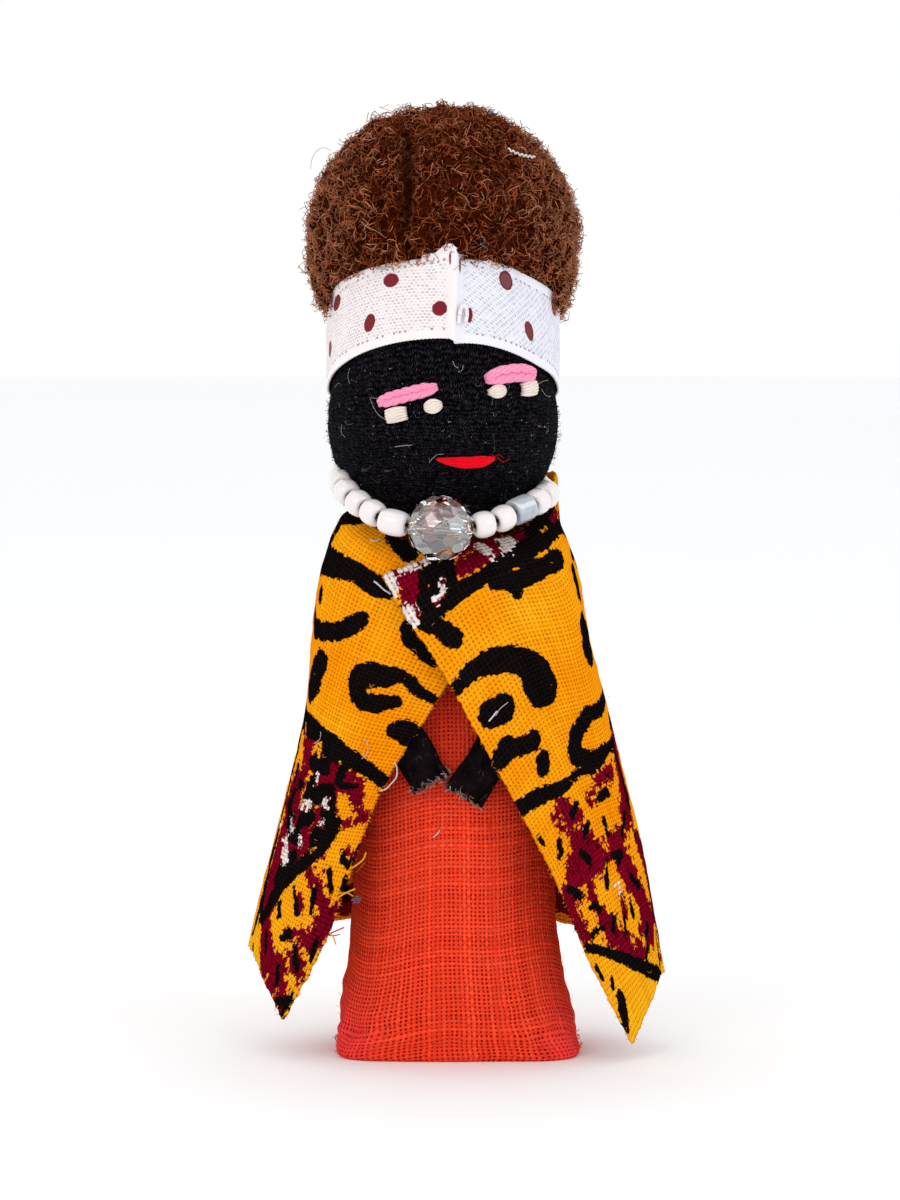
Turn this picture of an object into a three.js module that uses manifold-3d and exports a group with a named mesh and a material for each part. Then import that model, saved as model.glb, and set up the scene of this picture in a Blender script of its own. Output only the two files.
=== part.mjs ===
// A small standing cloth doll, in millimetres, +Z up, standing on Z = 0 and facing -Y.
// X runs to the viewer's right. Every node is one separate physical piece.
import * as THREE from 'three';
import Module from 'manifold-3d';

const wasm = await Module();
wasm.setup();

// Shift that puts the middle of the bounding box over the origin
const SHIFT_X = -0.07;
const SHIFT_Y = -0.155;

// Padded body: rows of [height, centre x, half width, half depth, squareness]
const BODY_ROWS = [
  [0.0, 0.3, 18.0, 11.0, 4.6], [0.5, 0.3, 18.35, 11.35, 4.6], [1.6, 0.2, 18.2, 11.35, 4.2],
  [4.4, 0.15, 17.45, 11.6, 3.6], [7.6, 0.05, 16.75, 12.0, 3.1], [11, -0.1, 16.3, 12.5, 2.8],
  [16, -0.3, 15.85, 13.1, 2.5], [23, -0.37, 15.35, 13.6, 2.35], [34, -0.4, 15.2, 13.7, 2.3],
  [46, -0.5, 15.1, 13.6, 2.3], [58, -0.7, 14.8, 13.1, 2.3], [65, -0.9, 14.2, 12.3, 2.3],
  [69.5, -1.1, 13.0, 11.1, 2.25], [73, -1.3, 11.0, 9.3, 2.2], [75.6, -1.5, 8.4, 7.1, 2.1],
  [77.1, -1.6, 5.2, 4.6, 2.0],
];
const BODY_SEGMENTS = 28;

// Head: a ball below, upright walls under the ribbon and a dome that leans back with the hair
const HEAD_X = -1.95;
const HEAD_Z = 95;
const HEAD_R = 17.3;
// rows of [height, rise of the row toward the front, radius]
const HEAD_TOP = [
  [97.5, 1.2, 17.1], [100, 3.2, 16.65], [102.6, 5.4, 16.25], [106, 6.8, 16.1], [110.5, 7.1, 16.0],
  [113.6, 7.0, 15.3], [116.4, 6.2, 13.3], [118.8, 4.6, 10.1], [120.4, 2.4, 5.8],
];
const HEAD_CROWN = 121.0;
const HEAD_SEGMENTS = 28;

// Ribbon round the head
const BAND_WIDTH = 12.8;
const BAND_THICKNESS = 0.6;
const BAND_Z = 107.9;
const BAND_RISE = 7.1;
const BAND_SEGMENTS = 56;
const SEAM_ANGLE = 0.02;
const SEAM_OUT = 1.15;
const SEAM_UP = 1.0;

// Hair puff
const HAIR_CENTRE = [-1.95, 2.2, 122.0];
const HAIR_R = 20.8;
const HAIR_RINGS = 18;
const HAIR_SEGMENTS = 30;
const HAIR_FRINGE = 6;
const PARTING_X = -5.2;
const PARTING_DEPTH = 0.9;
const CLEAR = 0.32;

// Necklace: a ring that leans forward, with the crystal pushed out in front
const NECK_CENTRE = [-1.95, 2.6, 85.9];
const NECK_RX = 16.7;
const NECK_RY = 16.9;
const NECK_TILT = 0.345;
const BEAD_R = 2.0;
const BEAD_LENGTH = 3.25;
const BEAD_PITCH = 3.68;
const BORE_R = 0.72;
const THREAD_R = 0.34;
const CRYSTAL_R = 4.9;
const CRYSTAL_OUT = 4.9;
const CRYSTAL_ANGLE = -0.022;
const CRYSTAL_HALF = 0.235;
const CRYSTAL_BLEND = 1.15;
const LONG_BEAD_LENGTH = 4.3;
const GREY_BEAD_R = 2.05;
const GREY_BEAD_LENGTH = 3.6;
const GREY_INDEX = 3;

// Shawl: columns of control points from the left front edge round the back to the right front
// edge; each column runs from the neck edge down to the hem
const SHAWL_THICKNESS = 0.8;
const SHAWL_ROWS_AT = [0, 0.07, 0.2, 0.35, 0.5, 0.65, 0.82, 1];
const SHAWL_NET = [
  [[6.0, -12.6, 75.0], [4.4, -14.6, 70.2], [1.2, -15.8, 61.5], [-4.2, -17.9, 52.8],
    [-10.0, -18.1, 43.6], [-14.2, -16.8, 33.5], [-19.5, -14.0, 18.8], [-25.8, -9.5, 6.0]],
  [[-3.0, -11.6, 76.6], [-4.8, -14.2, 72.9], [-8.4, -16.0, 65.0], [-13.0, -16.6, 55.0],
    [-17.0, -14.2, 44.5], [-20.5, -11.5, 33.8], [-24.8, -8.5, 21.0], [-28.4, -5.8, 10.9]],
  [[-11.2, -8.4, 79.2], [-13.9, -11.4, 77.0], [-17.4, -10.6, 69.0], [-20.0, -7.8, 58.0],
    [-22.4, -5.2, 46.5], [-25.5, -3.6, 35.0], [-28.8, -2.5, 23.5], [-30.5, -1.8, 14.8]],
  [[-14.4, -1.8, 81.6], [-17.2, -2.6, 79.6], [-20.1, -1.2, 72.2], [-21.6, 0.8, 61.5],
    [-22.8, 2.0, 49.5], [-25.9, 2.6, 36.0], [-29.2, 2.4, 23.0], [-31.0, 2.0, 16.3]],
  [[-14.0, 5.6, 82.4], [-16.6, 6.6, 80.4], [-18.8, 8.4, 72.6], [-19.8, 10.0, 62.0],
    [-20.5, 11.0, 50.0], [-22.5, 11.2, 37.0], [-24.6, 10.8, 25.0], [-25.8, 10.2, 16.8]],
  [[-8.4, 12.6, 83.0], [-9.4, 14.6, 80.8], [-10.6, 16.2, 72.8], [-11.0, 17.2, 62.0],
    [-11.3, 17.8, 50.0], [-11.8, 18.0, 38.0], [-12.4, 18.0, 26.5], [-12.8, 17.6, 17.6]],
  [[-1.0, 14.8, 83.2], [-1.0, 16.8, 80.8], [-0.8, 18.2, 73.0], [-0.5, 19.2, 62.0],
    [-0.2, 19.8, 50.0], [0.0, 20.0, 38.0], [0.1, 20.0, 27.0], [0.2, 19.6, 18.2]],
  [[6.4, 12.6, 82.8], [7.4, 14.6, 80.6], [9.0, 16.2, 72.8], [10.0, 17.2, 62.0],
    [11.0, 17.8, 50.0], [11.8, 18.0, 38.0], [12.6, 18.0, 26.2], [13.2, 17.6, 17.2]],
  [[11.6, 5.6, 82.0], [14.2, 6.6, 79.8], [17.0, 8.4, 72.6], [18.6, 10.0, 62.0],
    [20.8, 11.0, 50.0], [23.2, 11.2, 37.0], [25.0, 10.8, 24.0], [26.6, 10.2, 14.8]],
  [[11.8, -1.8, 81.2], [14.9, -2.6, 79.0], [18.0, -1.2, 72.2], [20.2, 0.8, 61.5],
    [23.2, 2.0, 49.5], [26.6, 2.6, 36.0], [29.3, 2.4, 22.5], [31.1, 2.0, 12.0]],
  [[8.8, -8.8, 78.8], [11.9, -12.0, 76.4], [16.2, -11.0, 68.5], [19.2, -8.0, 57.5],
    [22.6, -5.2, 46.0], [26.0, -3.6, 34.5], [28.8, -2.5, 21.5], [30.8, -1.8, 11.5]],
  [[0.6, -12.2, 77.3], [2.6, -16.0, 74.6], [6.4, -18.2, 67.0], [11.6, -18.2, 56.0],
    [16.6, -15.4, 44.8], [20.8, -12.2, 33.0], [25.2, -9.0, 18.8], [28.8, -6.0, 7.3]],
  [[-10.8, -15.6, 73.4], [-8.1, -17.5, 68.4], [-2.5, -18.9, 60.2], [4.0, -19.5, 48.6],
    [9.8, -18.8, 38.0], [15.1, -16.8, 27.3], [20.0, -13.8, 15.3], [26.3, -9.5, 2.5]],
];
const SHAWL_COLUMNS = 40;
const SHAWL_ROWS = 11;

// Rolled arms: axis points, half width and half thickness
const ARM_HALF_WIDTH = 3.0;
const ARM_HALF_THICKNESS = 1.45;
const ARM_LEFT = [[-11.4, -13.3, 58.5], [-9.4, -15.2, 53.4], [-7.0, -15.75, 48.7], [-5.4, -15.75, 45.6],
  [-3.8, -15.7, 42.6]];
const ARM_RIGHT = [[9.8, -13.6, 57.5], [7.6, -15.2, 52.0], [5.0, -15.75, 46.7], [3.1, -15.75, 43.7],
  [1.2, -15.7, 40.6]];

// Stitches on the face: [name, width, points [x, z]]
const STITCH_GAP = 0.28;
const STITCHES = [
  ['brow_left', 2.0, 1.1, [[-11.6, 98.6], [-8.7, 99.5], [-5.8, 100.3], [-2.9, 101.0]]],
  ['brow_right', 2.7, 1.1, [[4.2, 102.6], [6.6, 103.3], [9.1, 103.5], [11.5, 103.1]]],
  ['eye_left_outer', 2.2, 1.0, [[-10.3, 96.6], [-8.9, 96.95], [-7.5, 97.2]]],
  ['eye_left_inner', 2.1, 1.0, [[-4.7, 98.0], [-3.4, 98.25], [-2.1, 98.5]]],
  ['eye_right_inner', 2.0, 1.0, [[4.9, 100.2], [6.15, 100.35], [7.4, 100.5]]],
  ['eye_right_outer', 2.2, 1.0, [[10.0, 100.5], [11.0, 100.6], [12.0, 100.7]]],
  ['mouth', 1.6, 0.9, [[-2.7, 90.75], [-0.6, 90.15], [1.6, 89.95], [3.8, 90.2], [5.6, 90.85]]],
];

const material = (color, roughness = 0.9, extra = {}) =>
  new THREE.MeshStandardMaterial({ color, roughness, metalness: 0, ...extra });

const group = new THREE.Group();

function add(name, geometry, mat) {
  geometry.translate(SHIFT_X, SHIFT_Y, 0);
  geometry.computeVertexNormals();
  const mesh = new THREE.Mesh(geometry, mat);
  mesh.name = name;
  group.add(mesh);
}

function fromTriangles(points, triangles) {
  const geometry = new THREE.BufferGeometry();
  geometry.setAttribute('position', new THREE.Float32BufferAttribute(points.flat(), 3));
  geometry.setIndex(triangles.flat());
  return geometry;
}

// Rings of points, bottom first and each counter-clockwise from above, closed by a point at both ends
function loft(rings, start, end) {
  const n = rings[0].length;
  const points = rings.flat();
  const triangles = [];
  for (let k = 0; k + 1 < rings.length; k++) {
    for (let i = 0; i < n; i++) {
      const a = k * n + i;
      const b = k * n + (i + 1) % n;
      triangles.push([a, b, b + n], [a, b + n, a + n]);
    }
  }
  const first = points.push(start) - 1;
  const last = points.push(end) - 1;
  const top = (rings.length - 1) * n;
  for (let i = 0; i < n; i++) {
    triangles.push([first, (i + 1) % n, i], [last, top + i, top + (i + 1) % n]);
  }
  return fromTriangles(points, triangles);
}

// Sections that follow each other round a closed path, each section a closed loop
function closedSweep(sections) {
  const n = sections[0].length;
  const m = sections.length;
  const triangles = [];
  for (let k = 0; k < m; k++) {
    for (let i = 0; i < n; i++) {
      const a = k * n + i;
      const b = k * n + (i + 1) % n;
      const c = ((k + 1) % m) * n + (i + 1) % n;
      const d = ((k + 1) % m) * n + i;
      triangles.push([a, b, c], [a, c, d]);
    }
  }
  return fromTriangles(sections.flat(), triangles);
}

function outward(geometry) {
  const position = geometry.getAttribute('position');
  const index = geometry.getIndex().array;
  let volume = 0;
  for (let i = 0; i < index.length; i += 3) {
    const a = new THREE.Vector3().fromBufferAttribute(position, index[i]);
    const b = new THREE.Vector3().fromBufferAttribute(position, index[i + 1]);
    const c = new THREE.Vector3().fromBufferAttribute(position, index[i + 2]);
    volume += a.dot(b.cross(c));
  }
  if (volume < 0) {
    const flipped = Array.from(index);
    for (let i = 0; i < flipped.length; i += 3) {
      [flipped[i + 1], flipped[i + 2]] = [flipped[i + 2], flipped[i + 1]];
    }
    geometry.setIndex(flipped);
  }
  return geometry;
}

function toSolid(geometry) {
  return new wasm.Manifold(new wasm.Mesh({
    numProp: 3,
    vertProperties: new Float32Array(geometry.getAttribute('position').array),
    triVerts: new Uint32Array(geometry.getIndex().array),
  }));
}

function fromSolid(solid) {
  const mesh = solid.getMesh();
  const geometry = new THREE.BufferGeometry();
  const count = mesh.vertProperties.length / mesh.numProp;
  const points = [];
  for (let i = 0; i < count; i++) {
    const at = i * mesh.numProp;
    points.push(mesh.vertProperties[at], mesh.vertProperties[at + 1], mesh.vertProperties[at + 2]);
  }
  geometry.setAttribute('position', new THREE.Float32BufferAttribute(points, 3));
  geometry.setIndex(Array.from(mesh.triVerts));
  return geometry;
}

const ring = (count, fn) => Array.from({ length: count }, (_, i) => fn((i / count) * Math.PI * 2));

// Body
function roundedRing(z, cx, a, b, square, count) {
  return ring(count, (t) => {
    const c = Math.cos(t);
    const s = Math.sin(t);
    const k = (Math.abs(c) ** square + Math.abs(s) ** square) ** (-1 / square);
    return [cx + a * c * k, b * s * k, z];
  });
}
const bodyRings = BODY_ROWS.map(([z, cx, a, b, n]) => roundedRing(z, cx, a, b, n, BODY_SEGMENTS));
const topRow = BODY_ROWS[BODY_ROWS.length - 1];
add('body', loft(bodyRings, [0.3, 0, 0], [topRow[1], 0, topRow[0]]), material('#d8452c'));

// Head
function headRings(grow, count) {
  const rows = [];
  for (let k = 1; k <= 9; k++) {
    const a = (-90 + k * 10) * Math.PI / 180;
    rows.push([HEAD_Z + Math.sin(a) * (HEAD_R + grow), 0, Math.cos(a) * (HEAD_R + grow)]);
  }
  for (const [z, rise, r] of HEAD_TOP) rows.push([z + (z > 112 ? grow : 0), rise, r + grow]);
  return rows.map(([z, rise, r]) => ring(count, (t) =>
    [HEAD_X + r * Math.cos(t), r * Math.sin(t), z - rise * Math.sin(t)]));
}
const headSolid = (grow) => loft(headRings(grow, HEAD_SEGMENTS),
  [HEAD_X, 0, HEAD_Z - HEAD_R - grow], [HEAD_X, 0, HEAD_CROWN + grow]);
add('head', headSolid(0), material('#151518'));

// Radius of the head at a height, in the direction t (quarter turn = back)
function headRadius(z, t) {
  if (z <= HEAD_Z) return Math.sqrt(Math.max(HEAD_R ** 2 - (z - HEAD_Z) ** 2, 0));
  const rows = [[HEAD_Z, 0, HEAD_R], ...HEAD_TOP];
  const height = (row) => row[0] - row[1] * Math.sin(t);
  for (let k = 0; k + 1 < rows.length; k++) {
    const z0 = height(rows[k]);
    const z1 = height(rows[k + 1]);
    if (z >= Math.min(z0, z1) && z <= Math.max(z0, z1)) {
      return rows[k][2] + (rows[k + 1][2] - rows[k][2]) * (z - z0) / (z1 - z0);
    }
  }
  return HEAD_R;
}
function headFront(x, z) {
  const dx = x - HEAD_X;
  const r = headRadius(z, -Math.PI / 2);
  return -Math.sqrt(Math.max(r * r - dx * dx, 0));
}

// Ribbon: a thin upright strip round the head, pinched up where its ends meet in front
function pinch(t) {
  const away = Math.atan2(Math.sin(t + Math.PI / 2 - SEAM_ANGLE), Math.cos(t + Math.PI / 2 - SEAM_ANGLE));
  return Math.exp(-((away / 0.05) ** 2));
}
function bandInner(t) {
  let r = 0;
  for (let h = -BAND_WIDTH / 2; h <= BAND_WIDTH / 2; h += BAND_WIDTH / 16) {
    r = Math.max(r, headRadius(BAND_Z - BAND_RISE * Math.sin(t) + h, t));
  }
  return r + CLEAR;
}
function bandSection(t) {
  const p = pinch(t);
  const section = [];
  const along = (r, h) => section.push([HEAD_X + r * Math.cos(t), r * Math.sin(t),
    BAND_Z - BAND_RISE * Math.sin(t) + h]);
  const inner = bandInner(t);
  const outer = inner + BAND_THICKNESS + p * SEAM_OUT;
  along(inner, -BAND_WIDTH / 2);
  along(outer, -BAND_WIDTH / 2);
  along(outer + 0.05, 0);
  along(outer, BAND_WIDTH / 2 + p * SEAM_UP);
  along(inner, BAND_WIDTH / 2 + p * SEAM_UP);
  return section;
}
const bandAngles = [];
for (let i = 0; i < BAND_SEGMENTS; i++) {
  // angles crowd toward the pinched seam
  const u = (i / BAND_SEGMENTS) * 2 - 1;
  const eased = 0.55 * u + 0.45 * u ** 3;
  bandAngles.push(-Math.PI / 2 + SEAM_ANGLE + eased * Math.PI);
}
add('headband', outward(closedSweep(bandAngles.map(bandSection))), material('#f3efec'));

// Hair: a puff with a shallow parting, hollowed over the head and the ribbon
function hairPoint(lat, lon) {
  const d = [Math.cos(lat) * Math.cos(lon), Math.cos(lat) * Math.sin(lon), Math.sin(lat)];
  const x = HAIR_CENTRE[0] + d[0] * HAIR_R;
  const front = Math.max(0, -d[1] * 0.7 + d[2] * 0.7);
  const parting = PARTING_DEPTH * front * Math.exp(-(((x - PARTING_X) / 1.8) ** 2));
  const lumps = 0.22 * Math.sin(5 * lon + 2 * lat) * Math.cos(4 * lat);
  const r = HAIR_R - parting + lumps;
  return [HAIR_CENTRE[0] + d[0] * r, HAIR_CENTRE[1] + d[1] * r, HAIR_CENTRE[2] + d[2] * r];
}
const hairRings = [];
for (let k = 1; k < HAIR_RINGS; k++) {
  hairRings.push(ring(HAIR_SEGMENTS, (t) => hairPoint(-Math.PI / 2 + (k / HAIR_RINGS) * Math.PI, t)));
}
const puff = loft(hairRings, hairPoint(-Math.PI / 2, 0), hairPoint(Math.PI / 2, 0));
const plugRings = [[-BAND_WIDTH / 2 - 8, 0], [BAND_WIDTH / 2 + CLEAR, 0], [BAND_WIDTH / 2 + CLEAR, 1]].map(([h, row]) =>
  bandAngles.map((t) => {
    // in front the puff ends at the ribbon's upper edge; at the sides its lobes hang outside the ribbon
    const fringe = HAIR_FRINGE * THREE.MathUtils.smoothstep(-Math.sin(t), 0.3, 0.62);
    const r = row ? bandInner(t) - CLEAR
      : bandInner(t) + BAND_THICKNESS + CLEAR + 0.06 + pinch(t) * SEAM_OUT + fringe;
    const up = h > 0 ? pinch(t) * SEAM_UP : 0;
    return [HEAD_X + r * Math.cos(t), r * Math.sin(t), BAND_Z - BAND_RISE * Math.sin(t) + h + up];
  }));
const plug = loft(plugRings, [HEAD_X, 0, BAND_Z - BAND_WIDTH / 2 - 8], [HEAD_X, 0, BAND_Z + BAND_WIDTH / 2 + CLEAR]);
let hair = toSolid(puff).subtract(toSolid(plug)).subtract(toSolid(headSolid(CLEAR)));
const bodies = hair.decompose();
hair = bodies.sort((a, b) => b.volume() - a.volume())[0];
add('hair', fromSolid(hair), material('#5a2f1d'));

// Catmull-Rom through uneven stations
function smooth(stations, values, at) {
  let k = 0;
  while (k + 2 < stations.length && at > stations[k + 1]) k++;
  const x0 = stations[k];
  const x1 = stations[k + 1];
  const h = x1 - x0;
  const t = (at - x0) / h;
  const slope = (i) => {
    if (i === 0) return (values[1] - values[0]) / (stations[1] - stations[0]);
    if (i === stations.length - 1) return (values[i] - values[i - 1]) / (stations[i] - stations[i - 1]);
    return (values[i + 1] - values[i - 1]) / (stations[i + 1] - stations[i - 1]);
  };
  const m0 = slope(k) * h;
  const m1 = slope(k + 1) * h;
  const t2 = t * t;
  const t3 = t2 * t;
  return (2 * t3 - 3 * t2 + 1) * values[k] + (t3 - 2 * t2 + t) * m0
    + (-2 * t3 + 3 * t2) * values[k + 1] + (t3 - t2) * m1;
}
const columnStations = SHAWL_NET.map((_, i) => i / (SHAWL_NET.length - 1));
function shawlPoint(u, v) {
  return [0, 1, 2].map((axis) => {
    const across = SHAWL_NET.map((column) => smooth(SHAWL_ROWS_AT, column.map((p) => p[axis]), v));
    return smooth(columnStations, across, u);
  });
}
function shawlNormal(u, v) {
  const e = 0.004;
  const p = (a, b) => new THREE.Vector3(...shawlPoint(Math.min(Math.max(a, 0), 1), Math.min(Math.max(b, 0), 1)));
  const du = p(u + e, v).sub(p(u - e, v));
  const dv = p(u, v + e).sub(p(u, v - e));
  return du.cross(dv).normalize();
}
const sheetPoints = [];
for (const side of [1, -1]) {
  for (let j = 0; j <= SHAWL_ROWS; j++) {
    for (let i = 0; i <= SHAWL_COLUMNS; i++) {
      const u = i / SHAWL_COLUMNS;
      const v = j / SHAWL_ROWS;
      const p = shawlPoint(u, v);
      const n = shawlNormal(u, v);
      const h = side * SHAWL_THICKNESS / 2;
      sheetPoints.push([p[0] + n.x * h, p[1] + n.y * h, p[2] + n.z * h]);
    }
  }
}
const sheetTriangles = [];
const W = SHAWL_COLUMNS + 1;
const LAYER = W * (SHAWL_ROWS + 1);
for (let j = 0; j < SHAWL_ROWS; j++) {
  for (let i = 0; i < SHAWL_COLUMNS; i++) {
    const a = j * W + i;
    sheetTriangles.push([a, a + 1, a + W + 1], [a, a + W + 1, a + W]);
    sheetTriangles.push([LAYER + a, LAYER + a + W + 1, LAYER + a + 1], [LAYER + a, LAYER + a + W, LAYER + a + W + 1]);
  }
}
const rim = [];
for (let i = 0; i < SHAWL_COLUMNS; i++) rim.push(i);
for (let j = 0; j < SHAWL_ROWS; j++) rim.push(j * W + SHAWL_COLUMNS);
for (let i = SHAWL_COLUMNS; i > 0; i--) rim.push(SHAWL_ROWS * W + i);
for (let j = SHAWL_ROWS; j > 0; j--) rim.push(j * W);
rim.forEach((a, k) => {
  const b = rim[(k + 1) % rim.length];
  sheetTriangles.push([b, a, LAYER + a], [b, LAYER + a, LAYER + b]);
});
add('shawl', outward(fromTriangles(sheetPoints, sheetTriangles)), material('#e9a41c'));

// Sweep of an oval section along an open path
function sweepOval(path, halfWidth, halfThickness, facing, count, ends = 0) {
  const curve = new THREE.CatmullRomCurve3(path.map((p) => new THREE.Vector3(...p)));
  const steps = (path.length - 1) * 2 + 2 * ends;
  const rings = [];
  for (let k = 0; k <= steps; k++) {
    const at = k / steps;
    const p = curve.getPointAt(at);
    const tangent = curve.getTangentAt(at);
    const out = facing(p).clone().addScaledVector(tangent, -facing(p).dot(tangent)).normalize();
    const side = new THREE.Vector3().crossVectors(tangent, out).normalize();
    const w = halfWidth(at);
    const h = halfThickness(at);
    rings.push(ring(count, (t) => {
      const q = p.clone().addScaledVector(side, Math.cos(t) * w).addScaledVector(out, Math.sin(t) * h);
      return [q.x, q.y, q.z];
    }));
  }
  const a = curve.getPointAt(0);
  const b = curve.getPointAt(1);
  return outward(loft(rings, [a.x, a.y, a.z], [b.x, b.y, b.z]));
}

// Arms
const forward = () => new THREE.Vector3(0, -1, 0);
for (const [name, path] of [['arm_left', ARM_LEFT], ['arm_right', ARM_RIGHT]]) {
  add(name, sweepOval(path, (t) => ARM_HALF_WIDTH * (0.82 + 0.18 * t), () => ARM_HALF_THICKNESS, forward, 10),
    material('#121214', 0.35));
}

// Stitches
for (const [name, width, height, line] of STITCHES) {
  const path = line.map(([x, z]) => [x, headFront(x, z) - STITCH_GAP - height / 2, z]);
  const fromHead = (p) => new THREE.Vector3(p.x - HEAD_X, p.y, p.z > HEAD_Z ? 0 : p.z - HEAD_Z).normalize();
  const taper = name === 'mouth'
    ? (t) => (width / 2) * Math.max(0.3, Math.sin(Math.PI * t)) 
    : (t) => (width / 2) * (0.72 + 0.28 * Math.sin(Math.PI * Math.min(Math.max(t, 0.0), 1)) ** 0.4);
  const colour = name.startsWith('brow') ? '#e8739a' : name === 'mouth' ? '#e0182a' : '#f3ead6';
  add(name, sweepOval(path, taper, (t) => (height / 2) * (0.7 + 0.3 * Math.sin(Math.PI * t)), fromHead, 7),
    material(colour));
}

// Necklace
function neckPoint(t) {
  // t = 0 is the front, positive toward +X
  const away = Math.abs(Math.atan2(Math.sin(t - CRYSTAL_ANGLE), Math.cos(t - CRYSTAL_ANGLE)));
  // straight through the crystal, then back to the head over a few beads
  const edge = (NECK_RY + CRYSTAL_OUT) / Math.cos(Math.min(away, CRYSTAL_HALF)) - NECK_RY;
  const s = Math.min(Math.max((away - CRYSTAL_HALF) / (CRYSTAL_BLEND - CRYSTAL_HALF), 0), 1);
  const push = edge * (1 - s * s * (3 - 2 * s));
  const x = (NECK_RX + push) * Math.sin(t);
  const y = -(NECK_RY + push) * Math.cos(t);
  const p = new THREE.Vector3(NECK_CENTRE[0] + x, NECK_CENTRE[1] + y * Math.cos(NECK_TILT),
    NECK_CENTRE[2] + y * Math.sin(NECK_TILT) + push * 0.30);
  // the row rests against the ball of the head and never runs into it
  const centre = new THREE.Vector3(HEAD_X, 0, HEAD_Z);
  const rest = HEAD_R + BEAD_R + CLEAR;
  const reach = p.distanceTo(centre);
  return reach < rest ? centre.add(p.sub(centre).multiplyScalar(rest / reach)) : p;
}
const THREAD_STEPS = 720;
const THREAD_SECTIONS = 46;
const track = Array.from({ length: THREAD_STEPS }, (_, i) => neckPoint((i / THREAD_STEPS) * Math.PI * 2));
const lengths = [0];
for (let i = 1; i <= THREAD_STEPS; i++) {
  lengths.push(lengths[i - 1] + track[i % THREAD_STEPS].distanceTo(track[i - 1]));
}
const LOOP = lengths[THREAD_STEPS];
function onTrack(s) {
  const at = ((s % LOOP) + LOOP) % LOOP;
  let k = 0;
  while (lengths[k + 1] < at) k++;
  const t = (at - lengths[k]) / (lengths[k + 1] - lengths[k]);
  return track[k].clone().lerp(track[(k + 1) % THREAD_STEPS], t);
}
const crystalAt = ((CRYSTAL_ANGLE / (Math.PI * 2)) * LOOP + LOOP) % LOOP;

function placed(geometry, s) {
  const p = onTrack(s);
  const tangent = onTrack(s + 0.6).sub(onTrack(s - 0.6)).normalize();
  geometry.applyQuaternion(new THREE.Quaternion().setFromUnitVectors(new THREE.Vector3(0, 1, 0), tangent));
  geometry.translate(p.x, p.y, p.z);
  return outward(geometry);
}
function turned(profile, segments) {
  return closedSweep(ring(segments, (t) => profile.map(([r, h]) => [r * Math.cos(t), h, r * Math.sin(t)])));
}
function bead(radius, length, segments) {
  const h = length / 2;
  return turned([[BORE_R, -h * 0.86], [radius * 0.74, -h], [radius, 0], [radius * 0.74, h], [BORE_R, h * 0.86]], segments);
}
function cylinderBead(radius, length, segments) {
  const h = length / 2;
  return turned([[BORE_R, -h], [radius * 0.9, -h], [radius, -h * 0.86], [radius, h * 0.86],
    [radius * 0.9, h], [BORE_R, h]], segments);
}
const crystalProfile = [[BORE_R, -4.55]];
for (const a of [-68, -48, -28, -9, 9, 28, 48, 68]) {
  const r = a * Math.PI / 180;
  crystalProfile.push([CRYSTAL_R * Math.cos(r), CRYSTAL_R * Math.sin(r)]);
}
crystalProfile.push([BORE_R, 4.55]);
add('crystal', placed(turned(crystalProfile, 12), crystalAt),
  material('#d9dde0', 0.05, { transparent: true, opacity: 0.6 }));

const longAt = crystalAt - 4.75 - LONG_BEAD_LENGTH / 2 - 0.32;
add('bead_long', placed(bead(BEAD_R, LONG_BEAD_LENGTH, 9), longAt), material('#f6eef0', 0.15));
const longEnd = longAt - LONG_BEAD_LENGTH / 2 - 0.2;
let right = crystalAt + 4.75 + 0.15;
const span = LOOP - (right - longEnd);
const small = Math.floor((span - GREY_BEAD_LENGTH - 0.3) / BEAD_PITCH);
const pitch = (span - GREY_BEAD_LENGTH - 0.35) / small;
let number = 0;
for (let k = 0; k <= small; k++) {
  if (k === GREY_INDEX - 1) {
    right += (GREY_BEAD_LENGTH + 0.35) / 2;
    add('bead_grey', placed(cylinderBead(GREY_BEAD_R, GREY_BEAD_LENGTH, 9), right), material('#b9c4cc', 0.15));
    right += (GREY_BEAD_LENGTH + 0.35) / 2;
    continue;
  }
  right += pitch / 2;
  number += 1;
  add(`bead_${String(number).padStart(2, '0')}`, placed(bead(BEAD_R, BEAD_LENGTH, 8), right),
    material('#f8f4f4', 0.15));
  right += pitch / 2;
}
const threadSections = Array.from({ length: THREAD_SECTIONS }, (_, i) => {
  const s = (i / THREAD_SECTIONS) * LOOP;
  const p = onTrack(s);
  const tangent = onTrack(s + 0.6).sub(onTrack(s - 0.6)).normalize();
  const up = new THREE.Vector3(0, 0, 1);
  const side = new THREE.Vector3().crossVectors(tangent, up).normalize();
  const out = new THREE.Vector3().crossVectors(side, tangent).normalize();
  return ring(5, (t) => {
    const q = p.clone().addScaledVector(side, THREAD_R * Math.cos(t)).addScaledVector(out, THREAD_R * Math.sin(t));
    return [q.x, q.y, q.z];
  });
});
add('necklace_thread', outward(closedSweep(threadSections)), material('#1a1a1a'));

export default group;
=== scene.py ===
"""A small standing cloth doll: a stuffed bag for a dress, a printed shawl, a necklace of glass beads,
a knitted ball for a head, a ribbon and a puff of curly fleece for hair."""

import math

import bmesh
import bpy
import numpy as np
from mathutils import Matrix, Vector


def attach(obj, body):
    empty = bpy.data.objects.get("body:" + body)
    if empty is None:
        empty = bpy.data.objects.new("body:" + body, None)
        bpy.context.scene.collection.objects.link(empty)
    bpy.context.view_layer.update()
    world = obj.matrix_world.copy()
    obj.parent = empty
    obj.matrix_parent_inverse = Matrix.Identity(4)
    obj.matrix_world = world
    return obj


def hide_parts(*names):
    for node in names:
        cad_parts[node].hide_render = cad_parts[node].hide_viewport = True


bl_info = {
    "name": "Cloth doll",
    "version": (1, 0, 0),
    "blender": (4, 5, 0),
    "location": "View3D > Sidebar > Doll",
    "description": "Makes a small standing cloth doll, piece by piece",
    "category": "Object",
}

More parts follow.
